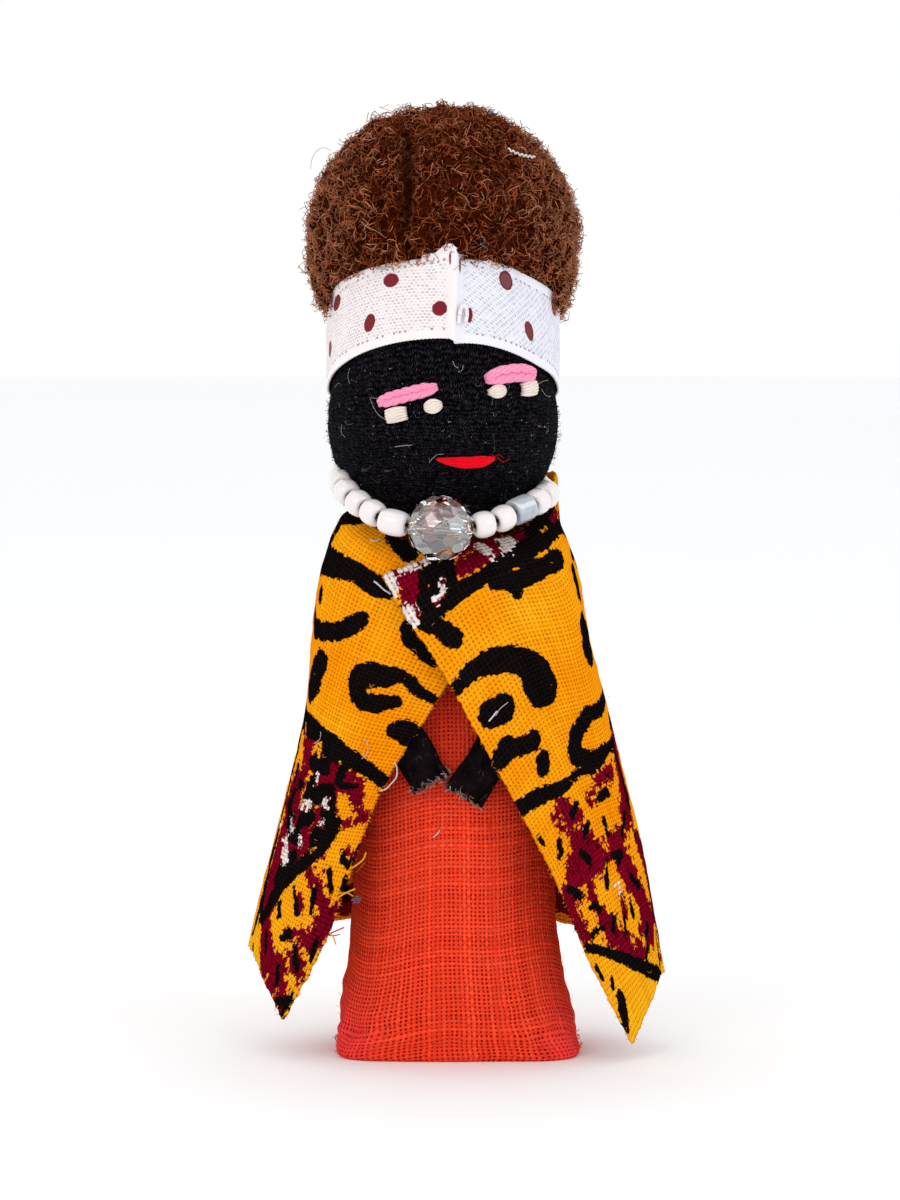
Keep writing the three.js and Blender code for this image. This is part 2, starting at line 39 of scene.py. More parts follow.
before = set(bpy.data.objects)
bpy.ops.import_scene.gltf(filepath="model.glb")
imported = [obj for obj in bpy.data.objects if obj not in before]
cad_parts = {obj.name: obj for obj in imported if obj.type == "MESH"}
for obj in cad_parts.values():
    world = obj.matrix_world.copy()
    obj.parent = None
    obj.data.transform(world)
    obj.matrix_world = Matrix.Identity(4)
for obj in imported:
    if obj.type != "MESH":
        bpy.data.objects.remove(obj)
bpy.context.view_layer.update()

MM = 0.001
SHIFT = np.array([-0.07, -0.155, 0.0])
CLOTH_MAP = "cloth"

# Dress: rows of height, centre x, half width, half depth, squareness
BODY_ROWS = np.array([
    [0.0, 0.3, 18.0, 11.0, 4.6], [0.5, 0.3, 18.35, 11.35, 4.6], [1.6, 0.2, 18.2, 11.35, 4.2],
    [4.4, 0.15, 17.45, 11.6, 3.6], [7.6, 0.05, 16.75, 12.0, 3.1], [11, -0.1, 16.3, 12.5, 2.8],
    [16, -0.3, 15.85, 13.1, 2.5], [23, -0.37, 15.35, 13.6, 2.35], [34, -0.4, 15.2, 13.7, 2.3],
    [46, -0.5, 15.1, 13.6, 2.3], [58, -0.7, 14.8, 13.1, 2.3], [65, -0.9, 14.2, 12.3, 2.3],
    [69.5, -1.1, 13.0, 11.1, 2.25], [73, -1.3, 11.0, 9.3, 2.2], [75.6, -1.5, 8.4, 7.1, 2.1],
    [77.1, -1.6, 5.2, 4.6, 2.0],
])

DRESS_COLUMNS = 180
DRESS_GIRTH = 96
# rings of the underside, as shares of the hem
UNDERSIDE = (0.04, 0.2, 0.4, 0.6, 0.78, 0.9, 0.97)
# Stuffing by cloth simulation: size over the real one, pressure, bending stiffness, frames
STUFFING_SCALE = 10.0
STUFFING_PRESSURE = 4.0
STUFFING_STIFFNESS = 0.2
STUFFING_FRAMES = 20

# Head: a ball, then rows of height, rise toward the front, radius
HEAD_X = -1.95
HEAD_Z = 95.0
HEAD_R = 17.3
HEAD_TOP = np.array([
    [97.5, 1.2, 17.1], [100, 3.2, 16.65], [102.6, 5.4, 16.25], [106, 6.8, 16.1], [110.5, 7.1, 16.0],
    [113.6, 7.0, 15.3], [116.4, 6.2, 13.3], [118.8, 4.6, 10.1], [120.4, 2.4, 5.8],
])
HEAD_CROWN = 121.0
HEAD_COLUMNS = 176
HEAD_ROWS = 104
# how far the ribbon clears the head
CLEAR = 0.32
# how near a bead's middle the knit gives way, and how far at most
DENT_R = 2.35
DENT_DEPTH = 1.2

# Ribbon round the head
BAND_WIDTH = 12.2
BAND_THICKNESS = 0.6
BAND_Z = 106.2
BAND_RISE = 8.1
BAND_BACK_FALL = 5.4
SEAM_ANGLE = 0.02
BAND_COLUMNS = 744
BAND_ROWS = 17
# the small scallops of both edges
SCALLOP_STEP = 0.58
SCALLOP_DEPTH = 0.1
# dots: distance from the seam, height above the middle, half width, half height, turn in degrees, greyness
BAND_DOTS = [
    (-8.17, 3.1, 1.35, 1.02, -12, 0.0), (-20.6, 3.6, 1.4, 1.1, 12, 0.1), (-12.04, -2.2, 1.05, 1.3, -25, 0.0),
    (-24.4, -1.8, 1.25, 1.15, 0, 0.1), (-0.75, -1.8, 1.2, 1.08, 12, 0.0), (3.55, -2.2, 0.5, 1.05, 0, 0.0),
    (9.48, 3.9, 1.22, 1.38, 0, 0.62), (14.35, -1.8, 1.0, 1.42, 24, 0.2), (22.3, 4.3, 1.4, 1.3, 0, 0.1),
    (0.8, 4.7, 0.2, 0.7, 0, 0.0), (2.0, 4.4, 0.2, 0.85, 0, 0.25),
]

# Hair
HAIR_CENTRE = np.array([-1.95, 2.2, 122.0])
# relief is given to the fleece outside the first radius, and curls grow outside the second
HAIR_SHAPED_R = 18.6
HAIR_CURLS_R = 17.2
HAIR_VOXEL = 0.8
PARTING_X = -7.2
PARTING_DEPTH = 2.4
PARTING_WIDTH = 1.3
LINT_THREAD = [[7.6, -11.6, 135.7], [9.4, -10.9, 134.9], [11.6, -9.4, 134.5]]

# Necklace
# the thread's line, a closed run of points that starts in the crystal and goes toward +X
NECK_LINE = np.array([
    [-2.3, -17.9, 80.44], [3.7, -17.1, 80.85], [6.4, -15.3, 81.5], [9.1, -12.9, 82.6],
    [11.7, -10.2, 83.6], [13.1, -6.9, 84.3], [13.6, -3.4, 84.5], [13.0, 0.6, 84.8], [12.0, 5.2, 85.7],
    [11.0, 10.4, 87.8], [8.4, 15.4, 89.8], [3.6, 18.9, 91.3], [-1.9, 20.1, 91.6], [-7.5, 18.9, 91.3],
    [-12.4, 15.6, 90.7], [-15.2, 10.7, 89.8], [-16.2, 5.4, 88.8], [-16.8, 1.6, 87.8], [-17.0, -1.6, 87.0],
    [-17.05, -5.0, 86.3], [-16.3, -8.2, 85.2], [-14.6, -11.0, 83.8], [-12.4, -13.8, 82.5],
    [-9.5, -16.3, 81.2],
])
BEAD_R = 2.0
BEAD_LENGTH = 3.1
BEAD_COUNT = 26
BEAD_SIDES = 34
GREY_BEAD_SIDES = 40
# the thread's two plies: steps round the loop, length of one twist, how far off the middle, radius
THREAD_STEPS = 620
THREAD_TWIST = 1.5
PLY_SWING = 0.15
PLY_R = 0.185
BORE_R = 0.72
CRYSTAL_R = 4.8
# how far along the thread the crystal reaches to each side
CRYSTAL_ROOM = 4.6
FACETS = 62
LONG_BEAD_LENGTH = 4.3
GREY_BEAD_R = 2.05
GREY_BEAD_LENGTH = 3.6
# the grey bead's place to the right of the crystal
GREY_INDEX = 3

# Shawl: columns of points from the left front edge round the back to the right front edge
SHAWL_ROWS_AT = np.array([0, 0.07, 0.2, 0.35, 0.5, 0.65, 0.82, 1])
SHAWL_NET = np.array([
    [[6.0, -12.6, 75.0], [4.4, -14.6, 70.2], [1.2, -15.8, 61.5], [-4.2, -17.9, 52.8],
     [-10.0, -18.1, 43.6], [-14.2, -16.8, 33.5], [-19.5, -14.0, 18.8], [-25.8, -9.5, 6.0]],
    [[-3.0, -11.6, 76.6], [-4.8, -14.2, 72.9], [-8.4, -16.0, 65.0], [-13.0, -16.6, 55.0],
     [-17.0, -14.2, 44.5], [-20.5, -11.5, 33.8], [-24.8, -8.5, 21.0], [-28.4, -5.8, 10.9]],
    [[-11.2, -8.4, 79.2], [-13.9, -11.4, 77.0], [-17.4, -10.6, 69.0], [-20.0, -7.8, 58.0],
     [-22.4, -5.2, 46.5], [-25.5, -3.6, 35.0], [-28.8, -2.5, 23.5], [-30.5, -1.8, 14.8]],
    [[-14.4, -1.8, 81.6], [-17.2, -2.6, 79.6], [-20.1, -1.2, 72.2], [-21.6, 0.8, 61.5],
     [-22.8, 2.0, 49.5], [-25.9, 2.6, 36.0], [-29.2, 2.4, 23.0], [-31.0, 2.0, 16.3]],
    [[-14.0, 5.6, 82.4], [-16.6, 6.6, 80.4], [-18.8, 8.4, 72.6], [-19.8, 10.0, 62.0],
     [-20.5, 11.0, 50.0], [-22.5, 11.2, 37.0], [-24.6, 10.8, 25.0], [-25.8, 10.2, 16.8]],
    [[-8.4, 12.6, 83.0], [-9.4, 14.6, 80.8], [-10.6, 16.2, 72.8], [-11.0, 17.2, 62.0],
     [-11.3, 17.8, 50.0], [-11.8, 18.0, 38.0], [-12.4, 18.0, 26.5], [-12.8, 17.6, 17.6]],
    [[-1.0, 14.8, 83.2], [-1.0, 16.8, 80.8], [-0.8, 18.2, 73.0], [-0.5, 19.2, 62.0],
     [-0.2, 19.8, 50.0], [0.0, 20.0, 38.0], [0.1, 20.0, 27.0], [0.2, 19.6, 18.2]],
    [[6.4, 12.6, 82.8], [7.4, 14.6, 80.6], [9.0, 16.2, 72.8], [10.0, 17.2, 62.0],
     [11.0, 17.8, 50.0], [11.8, 18.0, 38.0], [12.6, 18.0, 26.2], [13.2, 17.6, 17.2]],
    [[11.6, 5.6, 82.0], [14.2, 6.6, 79.8], [17.0, 8.4, 72.6], [18.6, 10.0, 62.0],
     [20.8, 11.0, 50.0], [23.2, 11.2, 37.0], [25.0, 10.8, 24.0], [26.6, 10.2, 14.8]],
    [[11.8, -1.8, 81.2], [14.9, -2.6, 79.0], [18.0, -1.2, 72.2], [20.2, 0.8, 61.5],
     [23.2, 2.0, 49.5], [26.6, 2.6, 36.0], [29.3, 2.4, 22.5], [31.1, 2.0, 12.0]],
    [[8.8, -8.8, 78.8], [11.9, -12.0, 76.4], [16.2, -11.0, 68.5], [19.2, -8.0, 57.5],
     [22.6, -5.2, 46.0], [26.0, -3.6, 34.5], [28.8, -2.5, 21.5], [30.8, -1.8, 11.5]],
    [[0.6, -12.2, 77.3], [2.6, -16.0, 74.6], [6.4, -18.2, 67.0], [11.6, -18.2, 56.0],
     [16.6, -15.4, 44.8], [20.8, -12.2, 33.0], [25.2, -9.0, 18.8], [28.8, -6.0, 7.3]],
    [[-10.8, -15.6, 73.4], [-8.1, -17.5, 68.4], [-2.5, -18.9, 60.2], [4.0, -19.5, 48.6],
     [9.8, -18.8, 38.0], [15.1, -16.8, 27.3], [20.0, -13.8, 15.3], [26.3, -9.5, 2.5]],
])
SHAWL_COLUMNS = 262
SHAWL_ROWS = 152

# Print of the shawl, in millimetres over the cloth, one colour laid over the other in this order. Each
# stroke is a run of numbers in threes: across, down, half thickness. Gold takes the others away, and over
# makes room in the black for wine red or white.
PRINT_STROKES = {
    "wine": [
        [19.1, 33.5, 1.58, 14.9, 37.1, 3.98, 8.7, 38.8, 4.05, 2.6, 40.4, 2.74],
        [17.8, 42.4, 3.06, 15.1, 48.1, 4.17, 15.3, 53.6, 3.8, 15.6, 59.1, 2.97, 16.8, 64.3, 2.27],
        [7.7, 44.7, 3.24, 8.8, 50, 2.82, 7.2, 53.1, 2.27],
        [14.7, 65.8, 2.65, 11.2, 68.7, 2.51, 3.9, 69.2, 2.62, 1.3, 70.4, 1.3],
        [6.2, 62.9, 2.98, 2.8, 61.6, 2.76, 1.7, 59.6, 1.69], [3.6, 66.5, 3.19],
        [1.4, 56.4, 1.36, 0.5, 60.1, 1.34], [1.4, 43.8, 1.56, 1.8, 40.7, 1.96],
        [120.2, 0.6, 1.15, 118.7, 0.5, 1.43, 117.9, 2, 1.72, 119.1, 3.8, 1.43, 119.8, 5.4, 1.15,
         119.4, 6.9, 0.43], [116.2, 0, 1.29, 115.1, 0, 1.15],
        [112.4, 3.5, 1.29, 110, 3.3, 1.65, 106.9, 2.7, 1.99, 102.5, 1.1, 2.05, 98.3, 0.1, 1.34],
        [110.4, 0.6, 1.32, 105.8, 0, 1.59],
        [114.6, 38.9, 0.83, 113.6, 42.7, 1.87, 113.9, 45.8, 2.36, 113.8, 49.1, 3.37, 109.9, 49.9, 2.18,
         103.9, 48.7, 1.47],
        [116.7, 48.9, 2.7, 118.3, 49.6, 1.71, 119.7, 50.9, 1.54, 119.8, 54.5, 1.79, 119.4, 57.4, 1.57],
        [114.8, 53.2, 1.71, 113.9, 57.1, 2.07, 113.9, 60.3, 1.95, 109.8, 63.6, 2.11, 106.1, 65.8, 0.97],
        [106, 52.1, 2.46, 103.2, 57.5, 2.84, 101.6, 62.2, 2.71, 102.6, 64.8, 2.16],
        [100.7, 47.2, 2.15, 98.8, 43, 2.39, 97, 38.9, 2.17, 95.6, 37.1, 1.63],
        [105.8, 39.5, 1.23, 102.1, 39.2, 1.61, 100.8, 37.5, 0.92],
        [99.6, 52.6, 3.26, 98.5, 58.9, 2.17, 95.8, 65.3, 1.63, 98.5, 68.4, 1.3],
    ],
    "ink": [
        [25.3, 1.8, 1.91, 23.5, 0.6, 1.63], [15.6, 0, 1.4, 11.9, 2.1, 1.23],
        [26.6, 10.3, 2.61, 17.4, 7.3, 1.41, 14.1, 8, 1.58, 12.3, 7.8, 1.29],
        [23, 13.5, 0.69, 22.5, 14.9, 0.62],
        [25, 17.6, 0.69, 22.6, 19.5, 1.37, 17, 16.6, 1.31, 15.1, 14.7, 1.37, 14, 13.1, 1.17],
        [18.9, 22.3, 1.8, 19.7, 25.3, 2.25, 20.4, 27.7, 1.83],
        [10.9, 20.8, 1.87, 9.3, 20, 1.95, 7.8, 19.6, 1.67, 6.7, 18.9, 1.29, 5.3, 18.7, 1, 3.9, 19.5, 0.87,
         2.4, 20.4, 0.96, 0.2, 21, 0.83], [10.7, 23.4, 1.37, 8.8, 24.3, 1.49, 7, 23.9, 1.51, 5.3, 23, 1.26],
        [11.2, 22.1, 1.44, 10.4, 23.6, 1.29], [2.3, 27.2, 1.89, 1.5, 27.2, 1.89, 0.5, 29, 0.98],
        [7.5, 11.6, 1.43, 6.6, 13, 1.29, 4.7, 14, 1.29, 2.9, 15, 0.86],
        [22.4, 33.2, 1.37, 12, 32, 1.23, 6.8, 33.6, 1.13, 0, 36.8, 1.17],
        [23.5, 35, 0.55, 21.4, 44, 0.55, 19.6, 55.1, 0.66, 18.2, 63.9, 0.66],
        [22.4, 32.6, 1.5, 16.8, 31.7, 1.32, 12.9, 32.6, 1.38, 8.8, 33.2, 1.29, 4.1, 34.9, 1.24,
         0, 36.7, 0.98],
        [22.2, 33.8, 0.52, 21.7, 38, 0.52, 21.8, 42.3, 0.52, 21.3, 47, 0.52, 20.6, 52.4, 0.58,
         18.6, 59.7, 0.64, 19.8, 65.9, 0.69, 21.1, 68.5, 0.52],
        [18.5, 43, 0.65, 18.7, 45.5, 0.78, 17.5, 48.4, 0.51], [19.5, 38.9, 0.46, 19.5, 41.6, 0.52],
        [13.6, 33, 1.4, 10.7, 34.1, 1.67, 11.4, 36.5, 1.48, 15.2, 36.9, 1.16],
        [17.4, 41.4, 0.89, 16.6, 41.4, 0.76],
        [13.6, 39.6, 1.14, 14.4, 42, 1.27, 11.9, 41.6, 1.82, 9.5, 40.2, 1.5, 8.3, 43.3, 1.56,
         7.5, 45.8, 1.76, 8.9, 48.3, 1.79], [7.2, 38.5, 0.78, 4.8, 38.3, 0.61],
        [8.1, 35.8, 0.92, 7.9, 37.8, 0.94],
        [11.9, 45.7, 1.48, 13.6, 46.5, 1.34, 13.7, 49.9, 1.08, 15.9, 49.7, 1.05, 16.8, 47, 1.18],
        [5.6, 44.6, 0.78, 6, 47.5, 1.31, 7, 49.6, 1.3, 8.7, 51.2, 1.36, 10, 53.8, 1.72, 12.7, 56.6, 1.77,
         14.5, 59.5, 1.43, 15.7, 62.8, 1.15, 17.6, 65.6, 0.92],
        [13.1, 52.6, 1.15, 14.4, 55.1, 1.39, 14.8, 57.4, 1.42], [9.5, 51.6, 0.98],
        [109.9, 7.8, 0.72, 108.4, 7.6, 1.32, 106, 7.6, 1.45, 101.3, 6.3, 1.45, 97.7, 6.6, 1.62],
        [107.3, 9, 0.89, 107.3, 9.6, 0.74], [94.4, 11.3, 1.51, 95.1, 13.9, 1.65],
        [97.3, 17.7, 1.92, 97.2, 20.1, 2.75, 97.5, 21.8, 1.92],
        [119.4, 6.9, 1, 118.2, 8.7, 1.29, 117.2, 11.1, 1.29],
        [120.2, 16.1, 0.86, 117.9, 15.6, 1.15, 115.5, 16.1, 1.51, 113.3, 17, 1.65, 110.8, 18.6, 1.86,
         109.4, 20.5, 2.4, 109.5, 22.6, 2.84, 109.9, 24, 2.33], [118.1, 21.4, 1.72, 115.9, 22.3, 1.86],
        [119.5, 26.9, 1.44, 118.1, 26.6, 1.58, 116.4, 28.1, 1.17, 114.3, 28.9, 1.41],
        [114.2, 32, 1.22, 114.7, 33, 1.14],
        [95.4, 30.1, 1.1, 102.8, 29, 1.28, 107.5, 32.1, 1.3, 108.8, 35, 1.64, 104.9, 36.4, 1.65,
         101.3, 35.4, 1.11, 97.3, 36.2, 1.1],
        [120.6, 34.6, 1.3, 118.1, 35.3, 1.3, 115.5, 36.5, 1.09, 112, 37.9, 1, 106.7, 37.6, 1.2],
    ],
    "gold": [
        [15.6, 34.9, 0.66, 14.9, 33.9, 0.6, 14.1, 33.5, 0.46], [14.1, 34.6, 0.64, 14.2, 35.3, 0.51],
        [20.1, 33, 0.35, 19.4, 34.7, 0.28], [15.3, 38.6, 0.32, 15.5, 40.2, 0.32],
        [15.2, 41.9, 0.23, 16, 42.7, 0.24], [6.7, 40.3, 0.63, 5.9, 41.6, 1.1, 4.3, 43.6, 1.17, 3, 44, 0.78],
        [6.2, 43.4, 0.55, 4, 42.6, 0.63], [2.6, 37.8, 0.84, 1.3, 38.9, 1.32, 0.8, 41.3, 0.95],
        [1.5, 45.9, 0.99, 3.2, 47.5, 1.65, 1.6, 48.7, 1.53, 4, 50.4, 1.6, 2.1, 53.4, 1.67, 1.6, 55.2, 1.37,
         1.8, 56.8, 0.68],
        [6.3, 52.8, 1.33, 7.8, 54.8, 1.54, 9.4, 56.9, 1.78, 10.8, 59.3, 1.95, 10.9, 61.4, 1.74,
         7, 60.6, 1.66, 6.2, 58.5, 1.68, 4.7, 60.2, 1.2], [4.3, 54.3, 1.27, 3.7, 56.4, 0.35],
        [17.4, 66.4, 0.92, 17.5, 68.9, 1.39, 17.6, 70.7, 1.16, 15.3, 71.1, 0.52],
        [9.6, 64.8, 0.7, 8.4, 65.6, 0.75, 6.2, 64.3, 0.67], [6.8, 65.5, 0.39], [5.5, 63.1, 0.26],
        [4.4, 63.4, 0.32, 2.6, 64.2, 0.31], [5.2, 66.2, 0.41],
        [3.8, 67.5, 0.65, 2.2, 67.8, 0.63, 2.3, 68.5, 0.5], [8.7, 70.1, 0.28], [4.9, 70.4, 0.32],
        [1.1, 65.3, 0.17], [111.6, 39, 0.81, 109.4, 39, 0.96, 107.2, 38.9, 0.63],
        [108.9, 40.7, 0.83, 108.9, 43, 1.37, 106.3, 44.3, 1.8, 103.3, 44.3, 1.33],
        [106.6, 45.9, 1.62, 106, 47.3, 0.65], [100.3, 40.6, 0.58, 101.5, 43, 0.79],
        [99.8, 36.8, 0.48, 101.6, 37.2, 0.53], [119.7, 37.8, 0.68, 117.4, 38.3, 0.69, 116.2, 38.9, 0.57],
        [119, 39.5, 1.14, 117.9, 41.4, 1.29, 116.7, 42.4, 0.65, 119.3, 42.7, 1.44, 119.1, 44.6, 1.13,
         120.2, 45.4, 0.47], [116, 43.1, 0.33, 115.2, 43.1, 0.23], [119.8, 47.9, 0.44],
        [116.7, 45.3, 0.33, 116, 45.8, 0.2], [109.8, 48.7, 0.4, 109.5, 49.7, 0.37],
        [112.7, 43.7, 0.14, 111.8, 44.3, 0.14], [114, 43.8, 0.13, 113.4, 44.1, 0.13],
        [100.3, 49.5, 0.71, 101.5, 52, 1.44, 100.6, 54.7, 1.46, 99.6, 57.4, 1.19, 99.4, 59.8, 0.65],
        [113.4, 52.7, 0.68, 113, 54.8, 1.37, 112, 56.6, 1.26, 109.9, 56.4, 0.9],
        [108.9, 53.9, 0.83, 108.1, 55.5, 0.47],
        [106.6, 57.3, 0.67, 104.9, 59.3, 0.92, 105.1, 61.3, 0.85, 108.1, 60.7, 0.67, 108.7, 59.2, 0.64,
         107.8, 57.9, 0.57], [106.9, 62.3, 0.54, 108.9, 62.7, 0.5], [111.1, 59, 0.33, 111.8, 60.1, 0.22],
        [118.6, 53.1, 0.49, 118.2, 54.9, 0.78, 116.6, 56.6, 0.91, 117.9, 57.1, 0.7],
        [116.6, 53.4, 0.28, 117.4, 54.2, 0.42], [115.9, 59.3, 0.55, 116.2, 60.4, 0.55], [108.8, 63.2, 0.59],
        [103.3, 66.3, 0.65, 103.9, 68.2, 0.81], [98, 65.5, 0.38, 98.1, 68.5, 0.49],
    ],
    "ink2": [
        [14.9, 34.9, 0.3], [12.5, 60.1, 0.58, 11.4, 61.9, 0.53],
        [10.2, 56.8, 0.41, 8.5, 58.5, 0.47, 7.5, 59.9, 0.5], [5.6, 55.9, 0.65, 4.6, 59, 0.42],
        [4, 52.7, 0.46, 2.3, 55.5, 0.48], [2.9, 49.5, 0.29, 2, 50.9, 0.71, 0.7, 51.6, 0.7, 0.2, 50.3, 0.32],
        [0.6, 53.1, 0.35, 0.1, 54.9, 0.37], [19.4, 70.1, 0.35, 18.9, 71.2, 0.4],
        [8.7, 64.2, 0.75, 7.2, 62.9, 0.69], [13.6, 66.1, 0.61, 12, 67.9, 0.61],
        [5.5, 64, 0.37, 4, 65.3, 0.57, 2.5, 66.3, 0.45],
        [1.6, 61.7, 0.51, 1.1, 63.2, 0.74, 0.7, 64.3, 0.47], [7, 67.6, 0.48, 5.7, 69.6, 0.52],
        [3.6, 71, 0.62, 0.7, 69.1, 0.63, 0.9, 71, 0.66], [0.1, 48.1, 0.26, 0, 49.5, 0.25],
        [115, 0, 0.72, 116.7, 2.6, 0.72, 118.2, 5, 0.86, 118.6, 6.5, 0.86],
        [114.6, 1, 1.15, 115.9, 3.8, 0.86, 117.2, 5.1, 0.86],
        [113.3, 1.5, 0.86, 114.2, 4.6, 0.86, 114.3, 6.1, 0.86, 116.4, 6.7, 1],
        [118.5, 6.7, 1.15, 116.6, 6.4, 1.29, 113.8, 6.3, 1.29, 111.1, 6.3, 1.15, 107.6, 5.2, 1.29,
         100.6, 2.9, 1.61, 95.7, 3, 1.67, 87.9, 4.1, 1.65],
        [97.9, 1.5, 1.54, 92.2, 2, 2.47, 86.2, 2.7, 2.2], [107, 42.2, 0.8, 104.5, 41.9, 0.86],
        [112.1, 40.9, 0.47, 113.5, 41.9, 0.73], [111.6, 45, 0.63, 112.7, 45.9, 0.61],
        [107.8, 45.7, 0.51, 108.1, 48.1, 0.46], [114.4, 47.5, 0.6, 113.5, 49.5, 0.61],
        [108.2, 51.3, 0.77, 105.7, 51.6, 0.66, 107.3, 52.3, 0.63], [110.3, 51.2, 0.4, 111.7, 54.2, 0.49],
        [120.1, 40, 0.41, 119.9, 41.4, 0.48], [117.5, 43.3, 0.56, 118.2, 45.1, 0.6],
        [119.4, 49.9, 0.48, 117.6, 52.1, 0.76], [116.4, 54.8, 0.49, 115.2, 55.1, 0.48, 114.8, 56.2, 0.59],
        [104.6, 55.1, 0.57, 102.9, 56.9, 0.81], [106.7, 58, 0.42, 106.9, 59.9, 0.61],
        [112.2, 58.3, 0.42, 113.4, 59.7, 0.49], [109.6, 59.2, 0.39, 110.7, 61.2, 0.53],
        [118.3, 58.4, 0.49, 116.7, 58.1, 0.45, 115.2, 58.6, 0.42], [102.8, 63, 0.68, 103.9, 63.8, 0.66],
        [100.6, 46.1, 0.49, 102.9, 48, 0.53, 103.9, 49.1, 0.39], [102.9, 39.3, 0.44],
        [99.1, 49.7, 0.38, 99.2, 50.9, 0.38], [97.9, 36.8, 0.43, 97.8, 41.3, 0.43, 98.6, 45.7, 0.54],
        [97.6, 50.7, 0.33, 97.3, 55.9, 0.27, 97.6, 59.9, 0.27, 98.5, 63.1, 0.27, 99.5, 67.7, 0.38,
         99.8, 70, 0.43], [104.4, 65.4, 0.53, 106.1, 66.7, 0.44],
        [120.2, 59.2, 0.71, 116.8, 61.4, 0.76, 113, 63.9, 0.87, 107.8, 67.2, 1.17, 100.8, 71.3, 1.19],
        [120.1, 62.3, 0.47, 120.1, 63.7, 0.43], [117.8, 64.4, 0.44, 118.6, 65.4, 0.44],
        [117.8, 67.1, 0.99, 119.4, 68.4, 1.17, 120.3, 69.5, 0.64],
    ],
    "over": [
        [9.4, 53, 0.24, 7, 54.5, 0.26, 5.1, 55.2, 0.32, 4.4, 56.6, 0.32, 2.4, 57.6, 0.55, 1.3, 58.6, 0.61],
        [8.2, 57.6, 0.16, 7.1, 59.3, 0.19], [12.7, 38.8, 0.56, 12.3, 40.2, 0.56],
        [14.4, 44.1, 1.14, 12.7, 43.8, 0.97], [9.3, 41.6, 0.67, 9, 43.1, 0.71],
        [9.1, 45.5, 0.75, 8.4, 46.6, 0.69], [16.5, 47.6, 0.68, 15.2, 48.7, 0.65],
        [16.8, 50.5, 0.8, 14.7, 54.2, 0.74], [12.6, 48.1, 0.79, 11.6, 51.5, 0.77],
        [10.2, 35.7, 0.88, 9.5, 37.5, 0.89], [17.8, 55.9, 0.5, 16.8, 59.1, 0.74, 16.4, 61.5, 0.63],
        [6.9, 37.6, 0.69, 6.1, 36.5, 0.67], [22.1, 37.5, 0.35, 22.7, 39.3, 0.35],
        [1.7, 49.7, 0.32, 0.3, 50.4, 0.28], [19.7, 44.8, 0.58, 19.9, 45.9, 0.58],
        [4.5, 45.3, 0.27, 1.3, 44.3, 0.35], [114.7, 3.2, 0.34, 115.4, 5.3, 0.49, 117, 6, 0.52],
        [86.6, 3.1, 0.66, 92.3, 2.6, 0.71], [109.4, 42.2, 0.45], [116.3, 40, 0.32], [115.9, 42, 0.29],
        [108.9, 56.8, 0.15, 109.2, 58.3, 0.23, 109.4, 59.3, 0.2],
        [106, 55.1, 0.29, 103.9, 58.5, 0.37, 102.8, 61.2, 0.41, 105.4, 62.7, 0.33],
        [108.1, 41, 0.35, 108.8, 41.3, 0.3],
    ],
    "white": [
        [12.7, 38.5, 0.38, 12.5, 39.9, 0.32], [15.1, 44.1, 0.61, 12.7, 43.8, 0.71],
        [9.1, 41.4, 0.36, 9.4, 42.6, 0.42, 8.8, 43.1, 0.36], [9.4, 46.2, 0.42, 8.7, 45.7, 0.42],
        [16.6, 47.5, 0.57, 15.5, 48.7, 0.55], [16.6, 50.7, 0.72, 14.8, 53.8, 0.74],
        [13, 49.3, 0.38, 12.3, 50.5, 0.32], [21.4, 48.4, 0.33, 20, 49.5, 0.33],
        [115, 3.7, 0.16, 115.5, 5, 0.22, 116.7, 5.5, 0.34], [120.5, 0.2, 0.52, 120.6, 1.7, 0.52],
        [119.1, 0, 0.52, 117.6, 0, 0.66], [116, 0, 0.66, 115.9, 0.2, 0.6],
        [119.8, 4.5, 0.66, 120.1, 5.3, 0.77, 120.6, 6.3, 0.43],
        [108.5, 1.1, 0.63, 108.2, 2.4, 0.78, 108.2, 3.7, 0.47],
        [104.2, 0.5, 0.82, 103.1, 0.8, 1.15, 105.5, 3.2, 0.56], [120.7, 2.1, 0.29, 120.6, 2.3, 0.29],
        [109.2, 55.2, 0.42, 109.2, 56.2, 0.31],
    ],
    "gold2": [
        [9.5, 50.9, 0.24, 8.3, 50, 0.2], [15.2, 44, 0.23, 14.8, 43.6, 0.18],
        [95.4, 2.5, 0.26, 96.7, 2.3, 0.2],
    ],
}

# Arms: points down the middle of each rolled strip
ARM_HALF_WIDTH = 3.0
ARM_HALF_THICKNESS = 1.45
ARMS = {
    "arm_left": [[-11.4, -13.3, 58.5], [-9.4, -15.2, 53.4], [-7.0, -15.75, 48.7], [-5.4, -15.75, 45.6],
                 [-3.8, -15.7, 42.6]],
    "arm_right": [[9.8, -13.6, 57.5], [7.6, -15.2, 52.0], [5.0, -15.75, 46.7], [3.1, -15.75, 43.7],
                  [1.2, -15.7, 40.6]],
}
ARM_LENGTH = 18
ARM_STEPS = 60
ARM_SIDES = 52

